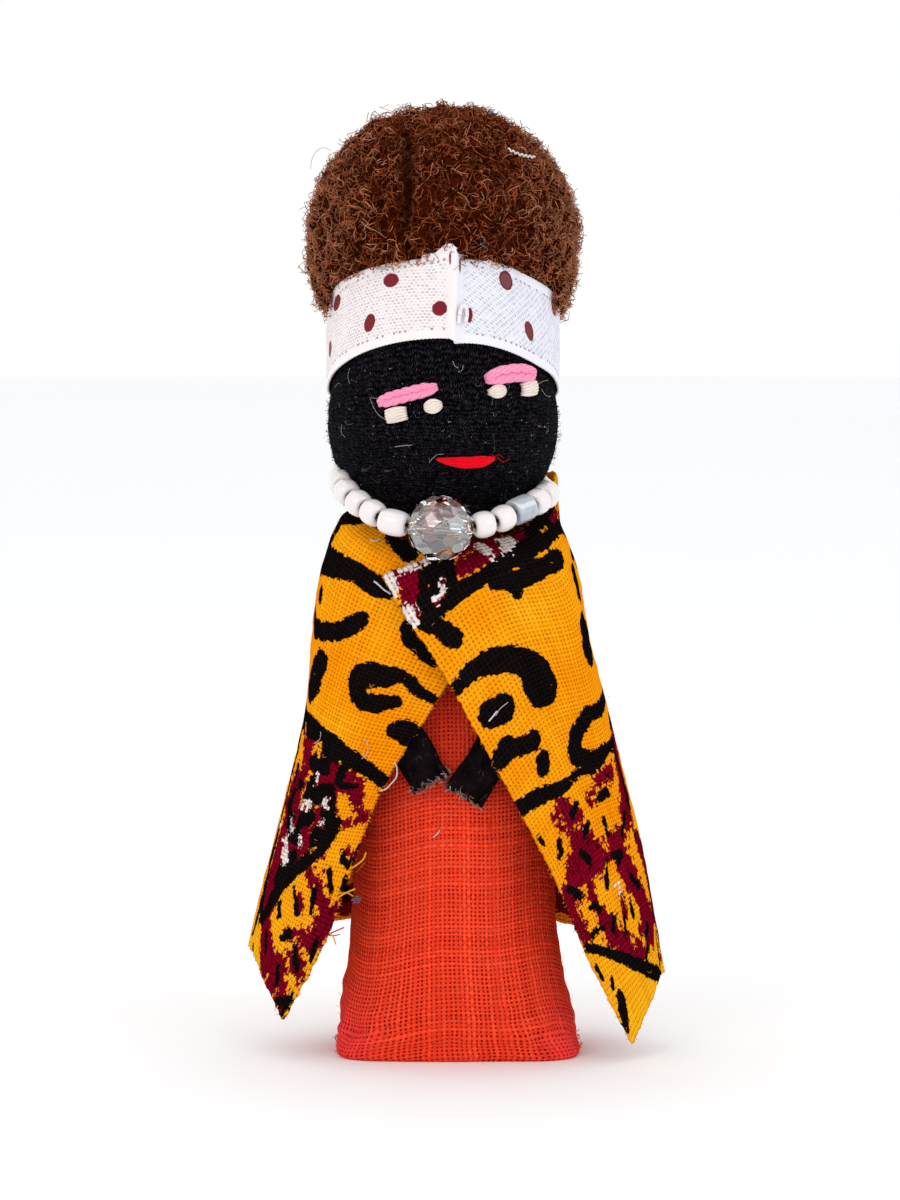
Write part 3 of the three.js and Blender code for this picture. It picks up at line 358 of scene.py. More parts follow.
# Loose fibres: how many to the square metre, then sizes in metres, turns of the curl, and so on. The curls
# of the hair give their curl and thickness as shares of the look's.
FIBRE_INPUTS = ["Density", "Height", "Curl", "Turns", "Thickness", "Waver", "Waver scale", "Lean", "Steps",
                "Seed"]
FIBRES = {
    "dress_frayed_hem": (0.9e6, 0.0006, 0.00022, 0.7, 0.00013, 0.0003, 700.0, 1.5, 7, 21),
    "dress_fuzz": (0.12e6, 0.0007, 0.0004, 0.6, 0.00005, 0.0004, 500.0, 2.2, 7, 22),
    "head_lint": (0.1e6, 0.0009, 0.0005, 0.6, 0.00005, 0.0006, 500.0, 2.4, 8, 31),
    "head_specks": (0.09e6, 0.00022, 0.00012, 0.6, 0.00008, 0.0002, 900.0, 3.0, 4, 33),
    "head_fuzz": (0.9e6, 0.0004, 0.0002, 0.7, 0.00008, 0.0003, 900.0, 1.6, 5, 32),
    "hair_curls_1": (1.02e6, 0.0009, 1.3, 0.85, 0.76, 0.00045, 420.0, 3.2, 7, 61),
    "hair_curls_2": (1.02e6, 0.0012, 1.0, 0.85, 0.7, 0.00045, 420.0, 3.2, 7, 62),
    "hair_curls_3": (0.98e6, 0.0007, 1.7, 0.85, 0.76, 0.00045, 420.0, 3.2, 7, 63),
    "hair_flyaway": (0.035e6, 0.0022, 0.001, 1.0, 0.00008, 0.0009, 300.0, 2.6, 12, 71),
    "shawl_frayed_edge": (2.2e6, 0.0004, 0.00016, 0.6, 0.00009, 0.0002, 900.0, 1.2, 7, 96),
    "shawl_fuzz": (0.03e6, 0.0005, 0.0003, 0.6, 0.00005, 0.0003, 500.0, 2.4, 7, 97),
    "arm_left_frayed_end": (3.6e6, 0.0007, 0.0003, 0.7, 0.00013, 0.0004, 900.0, 1.0, 7, 101),
    "arm_right_frayed_end": (3.6e6, 0.0007, 0.0003, 0.7, 0.00013, 0.0004, 900.0, 1.0, 7, 102),
}
# how far the curls start under the fleece's skin
CURL_LIFT = -0.00015

# Floor and camera: the aim in millimetres, the rise in degrees, the distance in metres
FLOOR_R = 2600.0
CAMERA_AIM = (-0.97, -0.155, 68.3)
CAMERA_RISE = 5
CAMERA_DISTANCE = 0.7
CAMERA_LENS = 139.65

# Stray threads, hairs and fluff of each kind: half thickness, points along it
STRAYS = {
    "gold": [
        (0.14, [[-15.4, -16.3, 30.0], [-14.5, -16.2, 30.6], [-13.7, -16.1, 31.3], [-13.3, -15.9, 32.3]]),
        (0.11, [[-15.0, -4.2, 27.6], [-14.1, -6.4, 28.9], [-13.6, -7.4, 29.6]]),
        (0.14, [[-18.2, -14.7, 24.7], [-17.2, -15.7, 25.7], [-16.1, -15.6, 26.3], [-14.9, -15.5, 26.8]]),
        (0.1, [[-17.2, -15.6, 26.2], [-16.1, -15.6, 26.2], [-15.2, -15.6, 25.7]]),
        (0.11, [[-18.8, -14.4, 20.2], [-18.2, -14.5, 19.4], [-17.8, -14.6, 18.3]]),
    ],
    "red": [
        (0.11, [[-19.4, -14.3, 19.4], [-18.4, -14.1, 20.0], [-17.5, -14.0, 20.4], [-16.6, -14.0, 20.8]]),
        (0.09, [[-19.1, -14.3, 19.7], [-18.2, -14.3, 19.6], [-17.2, -14.3, 19.8]]),
        (0.049, [[5.3, -15.8, 91.0], [6.1, -14.7, 90.5], [6.9, -14.0, 89.9], [7.8, -13.6, 90.3]]),
        (0.035, [[5.5, -15.8, 90.7], [6.3, -14.8, 91.0], [7.0, -14.2, 90.5]]),
    ],
    "white": [
        (0.1, [[-9.1, -18.3, 46.0], [-8.7, -18.4, 45.1], [-8.8, -18.6, 43.8], [-9.6, -18.7, 42.8],
         [-10.3, -18.8, 42.1], [-11.2, -18.3, 41.7]]),
        (0.05, [[-20.1, -9.7, 49.5], [-20.2, -9.6, 48.5], [-20.7, -9.0, 47.9], [-21.2, -8.2, 47.6]]),
        (0.05, [[-13.5, -17.0, 49.4], [-13.0, -17.2, 48.4], [-13.1, -17.1, 47.2], [-13.9, -16.8, 46.3]]),
        (0.13, [[-12.1, -13.9, 72.3], [-11.4, -14.3, 71.8], [-10.6, -14.7, 71.1], [-9.6, -15.0, 70.5]]),
        (0.08, [[-9.4, -14.9, 70.5], [-9.0, -16.7, 71.4], [-9.1, -16.4, 72.1]]),
        (0.13, [[4.8, -19.8, 52.2], [5.3, -19.8, 52.8], [6.0, -19.7, 53.7]]),
        (0.06, [[5.8, -19.7, 53.0], [6.4, -19.7, 54.0], [7.6, -19.7, 55.0]]),
        (0.036, [[-12.7, -13.3, 99.3], [-11.9, -14.0, 97.5], [-11.2, -14.6, 96.7], [-10.3, -16.2, 96.2]]),
        (0.027, [[-12.4, -13.5, 99.3], [-11.6, -15.3, 99.2], [-11.5, -15.3, 98.5]]),
        (0.042, [[-9.0, -15.7, 92.2], [-7.8, -16.2, 92.4], [-6.5, -16.6, 92.5]]),
        (0.03, [[-4.0, -16.5, 89.9], [-3.4, -16.8, 90.6], [-2.8, -16.9, 91.1], [-1.9, -17.0, 91.2]]),
        (0.036, [[-0.5, -16.6, 104.8], [-0.2, -16.6, 104.1], [0.3, -16.6, 103.8]]),
        (0.03, [[0.3, -16.6, 103.2], [0.9, -16.5, 103.5], [1.0, -16.4, 104.2]]),
        (0.12, [[-12.7, -11.1, 78.2], [-12.0, -11.2, 78.0], [-11.3, -10.7, 78.3]]),
        (0.09, [[-3.4, -14.2, 34.3], [-2.8, -14.3, 34.8], [-2.4, -14.4, 35.4]]),
        (0.03, [[11.8, -11.4, 101.1], [12.9, -7.7, 101.5], [13.7, -5.7, 101.6]]),
        (0.03, [[12.6, -8.6, 100.4], [13.3, -7.5, 99.4], [14.0, -5.9, 99.1]]),
        (0.027, [[-16.9, -8.7, 95.1], [-17.0, -8.5, 94.0], [-16.4, -9.4, 93.2]]),
        (0.027, [[-15.7, -9.2, 103.5], [-16.0, -8.9, 102.3], [-15.7, -9.7, 101.2]]),
    ],
    "hair": [
        (0.06, [[-21.0, -3.8, 119.1], [-21.1, -3.2, 120.8], [-21.3, -2.9, 122.9], [-20.6, -3.9, 125.0],
         [-19.4, -7.0, 126.2], [-18.4, -8.6, 125.5], [-18.5, -8.5, 123.5], [-19.2, -7.4, 121.5],
         [-20.2, -4.7, 119.7], [-20.8, -4.4, 117.9]]),
        (0.065, [[-14.1, -13.5, 125.2], [-12.9, -15.6, 124.3], [-11.6, -16.0, 123.7],
         [-10.2, -15.7, 122.7]]),
        (0.035, [[-18.7, 1.0, 135.6], [-19.9, 1.0, 136.0], [-21.0, 1.0, 135.3], [-21.6, 1.0, 134.0],
         [-21.7, 1.0, 132.8]]),
        (0.04, [[-17.2, 0.5, 135.7], [-16.3, 0.5, 137.0], [-15.5, -0.8, 137.4]]),
        (0.04, [[18.2, 1.0, 130.0], [17.1, 1.0, 128.9], [17.2, 1.0, 127.7]]),
    ],
    "fluff": [
        (0.033, [[2.6, -17.1, 122.4], [3.3, -16.4, 121.7], [4.2, -16.7, 122.3], [3.9, -16.5, 122.9],
         [3.0, -16.7, 122.7]]),
        (0.033, [[3.2, -17.0, 121.1], [4.1, -16.5, 121.6], [4.6, -16.9, 121.0], [3.8, -17.0, 120.7]]),
        (0.033, [[6.5, -15.9, 120.1], [7.3, -15.9, 120.5], [7.9, -15.5, 120.0], [7.3, -15.5, 119.4],
         [6.7, -15.8, 119.7]]),
        (0.029, [[3.5, -17.6, 122.0], [4.3, -16.7, 121.3], [4.8, -16.7, 122.0]]),
    ],
    "grey": [
        (0.09, [[-15.5, -15.5, 25.0], [-14.9, -15.8, 25.4], [-14.2, -15.6, 25.1]]),
        (0.09, [[-15.2, -15.7, 24.6], [-14.8, -15.6, 25.1], [-14.6, -15.8, 25.8]]),
        (0.08, [[-14.9, -15.5, 25.7], [-14.5, -15.8, 25.3], [-14.0, -15.6, 25.5]]),
        (0.08, [[-15.4, -15.6, 25.4], [-15.0, -15.9, 25.0], [-14.4, -15.7, 24.7]]),
        (0.07, [[-14.3, -15.6, 25.8], [-14.6, -15.9, 25.3], [-14.2, -15.7, 24.8]]),
    ],
}

# Stitches on the face: full width, thickness, plies side by side, thread, points (x, z)
STITCH_GAP = 0.28
STITCHES = {
    "brow_left": (2.25, 1.25, 2, "pink_thread", [[-11.6, 98.6], [-8.7, 99.5], [-5.8, 100.3], [-2.9, 101.0]]),
    "brow_right": (2.8, 1.25, 2, "pink_thread", [[4.7, 102.2], [6.9, 102.75], [9.2, 102.95], [11.8, 102.6]]),
    "eye_left_outer": (2.2, 1.0, 5, "ivory_thread", [[-10.3, 96.6], [-8.9, 96.95], [-7.5, 97.2]]),
    "eye_left_inner": (2.1, 1.0, 5, "ivory_thread", [[-4.7, 98.0], [-3.4, 98.25], [-2.1, 98.5]]),
    "eye_right_inner": (2.0, 1.0, 5, "ivory_thread", [[4.9, 100.2], [6.15, 100.35], [7.4, 100.5]]),
    "eye_right_outer": (2.2, 1.0, 5, "ivory_thread", [[10.0, 100.5], [11.0, 100.6], [12.0, 100.7]]),
    "mouth": (1.6, 0.9, 4, "red_thread",
              [[-2.8, 90.45], [-0.6, 90.1], [1.6, 89.95], [3.8, 90.1], [5.8, 90.5]]),
}


# Meshes


def read(items, key):
    """A vector of every vertex or face, one row each."""
    values = np.empty(len(items) * 3)
    items.foreach_get(key, values)
    return values.reshape(-1, 3)


def shade(mesh, smooth=True):
    mesh.polygons.foreach_set("use_smooth", [smooth] * len(mesh.polygons))


def placed(name, data):
    """A new object in the scene."""
    thing = bpy.data.objects.new(name, data)
    bpy.context.scene.collection.objects.link(thing)
    return thing


def evaluated(thing):
    """The mesh of an object with its modifiers; the object is removed."""
    depsgraph = bpy.context.evaluated_depsgraph_get()
    mesh = bpy.data.meshes.new_from_object(thing.evaluated_get(depsgraph))
    bpy.data.objects.remove(thing)
    return mesh


def full_turn(count, start=0.0):
    return start + np.arange(count) / count * 2 * math.pi


def run_along(points):
    """How far along a line each of its points is."""
    return np.concatenate([[0], np.cumsum(np.linalg.norm(np.diff(points, axis=0), axis=1))])


def bell(x, width):
    """A smooth hump of height 1."""
    return np.exp(-((x / width) ** 2))


class Shape:
    """Points in millimetres with quads and triangles, and a cloth coordinate at every corner."""

    def __init__(self):
        self.points, self.quads, self.quad_maps = [], [], []
        self.tris, self.tri_maps, self.tones = [], [], []
        self.count = 0

    def add(self, points, quads=None, quad_map=None, tris=None, tri_map=None, tone=0.5):
        points = np.asarray(points, float).reshape(-1, 3)
        for faces, maps, own, own_map, sides in (
            (self.quads, self.quad_maps, quads, quad_map, 4),
            (self.tris, self.tri_maps, tris, tri_map, 3),
        ):
            if own is None or not len(own):
                continue
            faces.append(np.asarray(own, int) + self.count)
            maps.append(np.zeros((len(own), sides, 2)) if own_map is None else own_map)
        self.points.append(points)
        self.tones.append(np.full(len(points), tone))
        self.count += len(points)
        return self

    def mesh(self, name, fields=None):
        mesh = bpy.data.meshes.new(name)
        points = (np.concatenate(self.points) + SHIFT) * MM
        faces = [row for part in self.quads + self.tris for row in part.tolist()]
        mesh.from_pydata(points.tolist(), [], faces)
        layer = mesh.uv_layers.new(name=CLOTH_MAP)
        corners = [part.reshape(-1, 2) for part in self.quad_maps + self.tri_maps]
        layer.uv.foreach_set("vector", np.concatenate(corners).astype(np.float32).ravel())
        for key, values in {"tone": np.concatenate(self.tones), **(fields or {})}.items():
            attribute = mesh.attributes.new(key, "FLOAT", "POINT")
            attribute.data.foreach_set("value", np.asarray(values, np.float32).ravel())
        shade(mesh)
        mesh.update()
        if signed_volume(mesh) < 0:
            mesh.flip_normals()
        return mesh


def signed_volume(mesh):
    mesh.calc_loop_triangles()
    corners = np.empty(len(mesh.loop_triangles) * 3, int)
    mesh.loop_triangles.foreach_get("vertices", corners)
    a, b, c = read(mesh.vertices, "co")[corners.reshape(-1, 3)].transpose(1, 0, 2)
    return float(np.einsum("ij,ij->", a, np.cross(b, c)))


def new_piece(name, mesh, material, nodes=(), flat_faces=False):
    """A finished mesh as a piece of the doll, which rides on its one body."""
    piece = placed(name, mesh)
    if material is not None:
        mesh.materials.clear()
        mesh.materials.append(material)
    if flat_faces:
        shade(mesh, False)
    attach(piece, "root")
    if nodes:
        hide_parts(*nodes)
    return piece


def hermite(stations, at):
    """Weights of the stations' values on a smooth curve through them, one row for each place in at."""
    stations, at = np.asarray(stations, float), np.asarray(at, float)
    n = len(stations)
    slopes = np.zeros((n, n))
    for i in range(n):
        a, b = max(i - 1, 0), min(i + 1, n - 1)
        slopes[i, b] += 1 / (stations[b] - stations[a])
        slopes[i, a] -= 1 / (stations[b] - stations[a])
    k = np.clip(np.searchsorted(stations, at) - 1, 0, n - 2)
    h = stations[k + 1] - stations[k]
    t = (at - stations[k]) / h
    weights = np.zeros((len(at), n))
    row = np.arange(len(at))
    weights[row, k] += 2 * t**3 - 3 * t**2 + 1
    weights[row, k + 1] += -2 * t**3 + 3 * t**2
    weights += ((t**3 - 2 * t**2 + t) * h)[:, None] * slopes[k]
    weights += ((t**3 - t**2) * h)[:, None] * slopes[k + 1]
    return weights


def grid(columns, rows, wrap=False):
    """Quads of a grid, and the (column, row) of each of their corners."""
    i, j = np.meshgrid(np.arange(columns if wrap else columns - 1), np.arange(rows - 1))
    i, j = i.ravel(), j.ravel()
    steps = np.stack([np.stack([i, j], 1), np.stack([i + 1, j], 1),
                      np.stack([i + 1, j + 1], 1), np.stack([i, j + 1], 1)], 1)
    return steps[..., 1] * columns + steps[..., 0] % columns, steps


def unit(v):
    return v / np.maximum(np.linalg.norm(v, axis=-1, keepdims=True), 1e-12)


def grid_normals(points, wrap=False):
    """Normals of a grid of points, rows by columns."""
    if wrap:
        across = np.roll(points, -1, 1) - np.roll(points, 1, 1)
    else:
        across = np.gradient(points, axis=1)
    return unit(np.cross(across, np.gradient(points, axis=0)))


def ripples(points, wavelength, seed, waves=9):
    """Soft uneven relief between about -1 and 1, the same on every run."""
    draw = np.random.default_rng(seed)
    points = np.asarray(points, float)
    total = np.zeros(points.shape[:-1])
    for _ in range(waves):
        direction = unit(draw.normal(size=points.shape[-1]))
        pace = 2 * math.pi / (wavelength * draw.uniform(0.6, 1.6))
        total += np.sin(points @ direction * pace + draw.uniform(0, 2 * math.pi))
    return total / math.sqrt(waves)


def loft(rings, across, along, poles=True, bend=None):
    """A skin over closed rings of points; across and along are the cloth coordinates of columns and rows."""
    rows, columns = rings.shape[:2]
    quads, steps = grid(columns, rows, wrap=True)
    quad_map = np.stack([across[steps[..., 0]], along[steps[..., 1]]], -1)
    if bend is not None:
        quad_map[..., 1] += bend[steps[..., 0] % columns]
    points, tris, tri_map = rings.reshape(-1, 3), [], []
    if poles:
        points = np.concatenate([points, rings[:1].mean(1), rings[-1:].mean(1)])
        first, last, top = rows * columns, rows * columns + 1, (rows - 1) * columns
        for i in range(columns):
            j = (i + 1) % columns
            tris += [[first, j, i], [last, top + i, top + j]]
            tri_map += [[[across[i], along[0]]] * 3, [[across[i], along[-1]]] * 3]
    return points, quads, quad_map, np.array(tris), np.array(tri_map)


def slab(points, thickness, across, along, wrap=False):
    """A thin sheet of cloth on both sides of a grid of points, with its cut edges closed."""
    rows, columns = points.shape[:2]
    normals = grid_normals(points, wrap)
    quads, steps = grid(columns, rows, wrap)
    quad_map = np.stack([across[steps[..., 0]], along[steps[..., 1]]], -1)
    size = rows * columns
    both = np.concatenate([(points + normals * (side * thickness / 2)).reshape(-1, 3) for side in (1, -1)])
    if wrap:
        loops = [(np.arange(columns), 0), (np.arange(columns)[::-1] + (rows - 1) * columns, rows - 1)]
        rims = [np.append(loop, loop[0]) for loop, _ in loops]
    else:
        rims = [np.concatenate([
            np.arange(columns), np.arange(1, rows) * columns + columns - 1,
            np.arange(columns - 2, -1, -1) + (rows - 1) * columns, np.arange(rows - 2, -1, -1) * columns])]
    edges, edge_map = [], []
    for rim in rims:
        a, b = rim[:-1], rim[1:]
        edges.append(np.stack([b, a, a + size, b + size], 1))
        at = np.stack([across[rim % columns], along[rim // columns]], -1)
        edge_map.append(np.stack([at[1:], at[:-1], at[:-1], at[1:]], 1))
    all_quads = np.concatenate([quads, quads[:, ::-1] + size, *edges])
    all_maps = np.concatenate([quad_map, quad_map[:, ::-1], *edge_map])
    return both, all_quads, all_maps


def tube(path, radius, sides=6, closed=False):
    """A round thread along a path, with round ends."""
    path = np.asarray(path, float)
    count = len(path)
    radius = np.broadcast_to(np.asarray(radius, float), (count,))
    if closed:
        tangents = unit(np.roll(path, -1, 0) - np.roll(path, 1, 0))
    else:
        tangents = unit(np.gradient(path, axis=0))
    side = unit(np.cross(tangents[0], [0.31, 0.17, 0.93]))
    rings = []
    for k in range(count):
        side = unit(side - tangents[k] * (side @ tangents[k]))
        out = np.cross(tangents[k], side)
        turn = full_turn(sides)
        rings.append(path[k] + radius[k] * (np.cos(turn)[:, None] * side + np.sin(turn)[:, None] * out))
    rings = np.array(rings)
    length = run_along(path)
    around = np.linspace(0, 1, sides + 1)
    if closed:
        rings = np.concatenate([rings, rings[:1]])
        length = np.append(length, length[-1] + np.linalg.norm(path[0] - path[-1]))
        points, quads, quad_map, _, _ = loft(rings, around, length, poles=False)
        quads = np.where(quads >= count * sides, quads - count * sides, quads)
        return points[: count * sides], quads, quad_map
    return loft(rings, around, length)


def curve_through(points, count):
    """Evenly spaced points on a smooth curve through a few."""
    points = np.asarray(points, float)
    stations = np.linspace(0, 1, len(points))
    fine = hermite(stations, np.linspace(0, 1, 40 * len(points))) @ points
    length = run_along(fine)
    at = np.linspace(0, length[-1], count)
    return np.stack([np.interp(at, length, fine[:, k]) for k in range(3)], 1)


# Surfaces that more than one piece follows


def body_ring(row, turns):
    """One ring of the dress; row is height, centre x, half width, half depth, squareness."""
    z, cx, a, b, n = row
    c, s = np.cos(turns), np.sin(turns)
    k = (np.abs(c) ** n + np.abs(s) ** n) ** (-1 / n)
    return np.stack([cx + a * c * k, b * s * k, np.full_like(c, z)], 1)


def head_radius(z, t):
    """Radius of the head at a height, in the direction t."""
    z, t = np.broadcast_arrays(np.asarray(z, float), np.asarray(t, float))
    radius = np.sqrt(np.clip(HEAD_R**2 - (z - HEAD_Z) ** 2, 0, None))
    rows = np.vstack([[HEAD_Z, 0, HEAD_R], HEAD_TOP])
    heights = rows[:, 0, None] - rows[:, 1, None] * np.sin(t.ravel())[None]
    flat_z, flat = z.ravel(), radius.ravel().copy()
    for k in range(len(rows) - 1):
        low, high = heights[k], heights[k + 1]
        inside = (flat_z > HEAD_Z) & (flat_z >= np.minimum(low, high)) & (flat_z <= np.maximum(low, high))
        share = (flat_z - low) / np.where(high == low, 1, high - low)
        flat = np.where(inside, rows[k, 2] + (rows[k + 1, 2] - rows[k, 2]) * share, flat)
    return flat.reshape(z.shape)


def head_front(x, z):
    """The y of the head's front at x and z."""
    r = head_radius(z, -math.pi / 2)
    return -np.sqrt(np.clip(r**2 - (np.asarray(x) - HEAD_X) ** 2, 0, None))


def band_height(t):
    """Height of the ribbon's middle in the direction t; it hangs lower on its right."""
    front = -np.sin(t)
    right = bell(np.angle(np.exp(1j * (np.asarray(t) + math.pi / 2))) - 0.9, 0.42)
    return BAND_Z + np.where(front > 0, BAND_RISE, BAND_BACK_FALL) * front - 0.75 * right


def band_inner(t):
    t = np.asarray(t, float)
    strip = np.linspace(-BAND_WIDTH / 2, BAND_WIDTH / 2, 17)
    height = band_height(t)[..., None] + strip
    return head_radius(height, np.broadcast_to(t[..., None], height.shape)).max(-1) + CLEAR


def shawl_surface(us, vs):
    """Points of the shawl's middle surface, rows down and columns across."""
    down = hermite(SHAWL_ROWS_AT, vs)
    across = hermite(np.linspace(0, 1, len(SHAWL_NET)), us)
    return np.einsum("ui,ijk,vj->vuk", across, SHAWL_NET, down)


class Necklace:
    """The thread's closed line, and where each bead sits on it."""

    def __init__(self, steps=30):
        before, start = np.roll(NECK_LINE, 1, 0), NECK_LINE
        end, after = np.roll(NECK_LINE, -1, 0), np.roll(NECK_LINE, -2, 0)
        chords = [np.linalg.norm(b - a, axis=1, keepdims=True)
                  for a, b in ((before, start), (start, end), (end, after))]
        leave = (end - before) / (chords[0] + chords[1]) * chords[1]
        arrive = (after - start) / (chords[1] + chords[2]) * chords[1]
        t = (np.arange(steps) / steps)[None, :, None]
        start, end, leave, arrive = (v[:, None] for v in (start, end, leave, arrive))
        track = ((2 * t**3 - 3 * t**2 + 1) * start + (t**3 - 2 * t**2 + t) * leave
                 + (3 * t**2 - 2 * t**3) * end + (t**3 - t**2) * arrive).reshape(-1, 3)
        self.ends = np.concatenate([track, track[:1]])
        self.length = run_along(self.ends)
        self.loop = self.length[-1]
        self.crystal = 0.0
        self.long = self.loop - CRYSTAL_ROOM - LONG_BEAD_LENGTH / 2 - 0.3
        right = CRYSTAL_ROOM
        span = self.long - LONG_BEAD_LENGTH / 2 - 0.2 - right
        grey_room = GREY_BEAD_LENGTH + 0.35
        pitch = (span - grey_room) / BEAD_COUNT
        self.beads = []
        for k in range(BEAD_COUNT + 1):
            step = grey_room if k == GREY_INDEX - 1 else pitch
            if k == GREY_INDEX - 1:
                self.grey = right + step / 2
            else:
                self.beads.append(right + step / 2)
            right += step

    def at(self, s):
        s = s % self.loop
        return np.array([np.interp(s, self.length, self.ends[:, k]) for k in range(3)])

    def aim(self, s):
        return unit(self.at(s + 0.6) - self.at(s - 0.6))


# Node trees


class Wire:
    """A node's output. Sums with it, such as wire * 2 or 1 - wire, add the math node that does them."""

    def __init__(self, graph, socket):
        self.graph, self.socket = graph, socket

    def __abs__(self):
        return self.graph.math("ABSOLUTE", self)


def both_ways(operation):
    """The methods for one operation with the wire on its left and on its right."""
    return (lambda wire, other: wire.graph.math(operation, wire, other),
            lambda wire, other: wire.graph.math(operation, other, wire))


for sign, operation in (("add", "ADD"), ("sub", "SUBTRACT"), ("mul", "MULTIPLY"), ("truediv", "DIVIDE"),
                        ("pow", "POWER")):
    for start, method in zip(("__", "__r"), both_ways(operation)):
        setattr(Wire, f"{start}{sign}__", method)


class Graph:
    """Short ways to add nodes to one tree."""

    def __init__(self, tree):
        self.tree = tree

    def feed(self, socket, value):
        if isinstance(value, Wire):
            self.tree.links.new(value.socket, socket)
        else:
            socket.default_value = value

    def add(self, kind, inputs=None, **settings):
        node = self.tree.nodes.new(kind)
        for key, value in settings.items():
            setattr(node, key, value)
        for key, value in (inputs or {}).items():
            self.feed(node.inputs[key], value)
        return node

    def wires(self, node):
        return {socket.name: Wire(self, socket) for socket in node.outputs}

    def out(self, kind, inputs=None, pick=0, **settings):
        """One output of a new node."""
        return Wire(self, self.add(kind, inputs, **settings).outputs[pick])

    def math(self, operation, *values):
        return self.out("ShaderNodeMath", dict(enumerate(values)), operation=operation)

    def mix(self, factor, a, b, mode="MIX"):
        return self.out("ShaderNodeMix", {0: factor, 6: a, 7: b}, 2, data_type="RGBA", blend_type=mode)

    def span(self, value, low, high, to_low=0.0, to_high=1.0):
        return self.out("ShaderNodeMapRange", {
            "Value": value, "From Min": low, "From Max": high, "To Min": to_low, "To Max": to_high},
            clamp=True)

    def noise(self, vector, scale, detail=2.0, rough=0.5):
        return self.out("ShaderNodeTexNoise", {
            "Vector": vector, "Scale": scale, "Detail": detail, "Roughness": rough})

    def vector(self, *parts):
        return self.out("ShaderNodeCombineXYZ", dict(zip("XYZ", parts)))

    def split(self, vector):
        return list(self.wires(self.add("ShaderNodeSeparateXYZ", {"Vector": vector})).values())

    def white(self, *parts):
        return self.out("ShaderNodeTexWhiteNoise", {"Vector": self.vector(*parts)}, noise_dimensions="3D")

    def attribute(self, name):
        return self.out("ShaderNodeAttribute", pick="Fac", attribute_name=name)

    def cloth(self):
        """Across and along the cloth, in millimetres."""
        return self.split(self.out("ShaderNodeUVMap", uv_map=CLOTH_MAP))[:2]

    def place(self):
        return self.out("ShaderNodeTexCoord", pick="Object")

    def bump(self, height, distance, strength=1.0):
        return self.out("ShaderNodeBump", {"Height": height, "Distance": distance, "Strength": strength})

    def fuzz(self, fade_size, fuzz_size):
        """Slow uneven colour, and fine fuzz."""
        made = use_group(self, "Fade and fuzz", {
            "Place": self.place(), "Fade size": fade_size, "Fuzz size": fuzz_size})
        return made["Fade"], made["Fuzz"]


def group_tree(name, kind, inputs, outputs):
    """An empty node group with named sockets: (name, socket type, default)."""
    tree = bpy.data.node_groups.new(name, kind)
    for label, socket, default in inputs:
        item = tree.interface.new_socket(name=label, in_out="INPUT", socket_type=socket)
        if default is not None:
            item.default_value = default
    for label, socket in outputs:
        tree.interface.new_socket(name=label, in_out="OUTPUT", socket_type=socket)
    g = Graph(tree)
    return g, g.wires(g.add("NodeGroupInput")), g.add("NodeGroupOutput").inputs


def use_group(g, name, inputs):
    return g.wires(g.add("ShaderNodeGroup", inputs, node_tree=bpy.data.node_groups[name]))


FLOAT, VECTOR = "NodeSocketFloat", "NodeSocketVector"


def build_weave_group():
    """Plain weave: threads over and under each other, with an open gap at every crossing of four."""
    g, given, made = group_tree("Plain weave", "ShaderNodeTree", [
        ("Across", FLOAT, 0.0), ("Along", FLOAT, 0.0), ("Pitch", FLOAT, 0.7), ("Fullness", FLOAT, 0.4),
        ("Waver", FLOAT, 0.15), ("Uneven", FLOAT, 0.11)],
        [("Height", FLOAT), ("Gap", FLOAT), ("Tone", FLOAT), ("Edge", FLOAT)])
    spot = g.vector(given["Across"], given["Along"])
    shift = g.split(g.out("ShaderNodeTexNoise", {
        "Vector": spot, "Scale": 0.45, "Detail": 3.0, "Roughness": 0.62}, "Color"))
    counts = []
    for key, part in (("Across", 0), ("Along", 1)):
        moved = (shift[part] - 0.5) * (given["Waver"] * 4.0)
        counts.append(given[key] / given["Pitch"] + moved)
    cells = [g.math("FLOOR", c) for c in counts]
    heights, masks = [], []
    for own, other, sign in ((0, 1, 1.0), (1, 0, -1.0)):
        thread = g.white(cells[own], float(own), 3.0)
        wide = 1.0 + given["Uneven"] * (thread * 2.0 - 1.0)
        width = given["Fullness"] * wide
        off = abs(g.math("FRACT", counts[own]) - 0.5) / width
        masks.append(off)
        crown = g.math("SQRT", g.math("MAXIMUM", 1.0 - off * off, 0.0))
        phase = (counts[other] - 0.5 - cells[own]) * math.pi
        lift = g.math("COSINE", phase) * (0.42 * sign)
        open_here = g.math("GREATER_THAN", off, 1.0) * -2.0
        heights.append(crown + lift + open_here)
    warp_over = g.math("GREATER_THAN", heights[0], heights[1])
    tones = [g.white(cells[0], 7.0, 0.0), g.white(cells[1], 0.0, 9.0)]
    tone = warp_over * tones[0] + (1.0 - warp_over) * tones[1]
    top = g.math("MAXIMUM", heights[0], heights[1])
    nearest = g.math("MINIMUM", masks[0], masks[1])
    g.feed(made["Height"], g.math("MAXIMUM", top, -0.6))
    g.feed(made["Gap"], g.span(nearest, 0.9, 1.12))
    g.feed(made["Tone"], tone)
    ragged = g.white(cells[0], cells[1], warp_over)
    g.feed(made["Edge"], ragged * 0.5 + tone * 0.5 - 0.5)


def build_fade_group():
    """Slow uneven colour over a piece, and fine fuzz on its threads."""
    g, given, made = group_tree("Fade and fuzz", "ShaderNodeTree", [
        ("Place", VECTOR, None), ("Fade size", FLOAT, 90.0), ("Fuzz size", FLOAT, 4000.0)],
        [("Fade", FLOAT), ("Fuzz", FLOAT)])
    g.feed(made["Fade"], g.span(g.noise(given["Place"], given["Fade size"], 3.0, 0.55), 0.3, 0.7))
    g.feed(made["Fuzz"], g.noise(given["Place"], given["Fuzz size"], 3.0, 0.7))


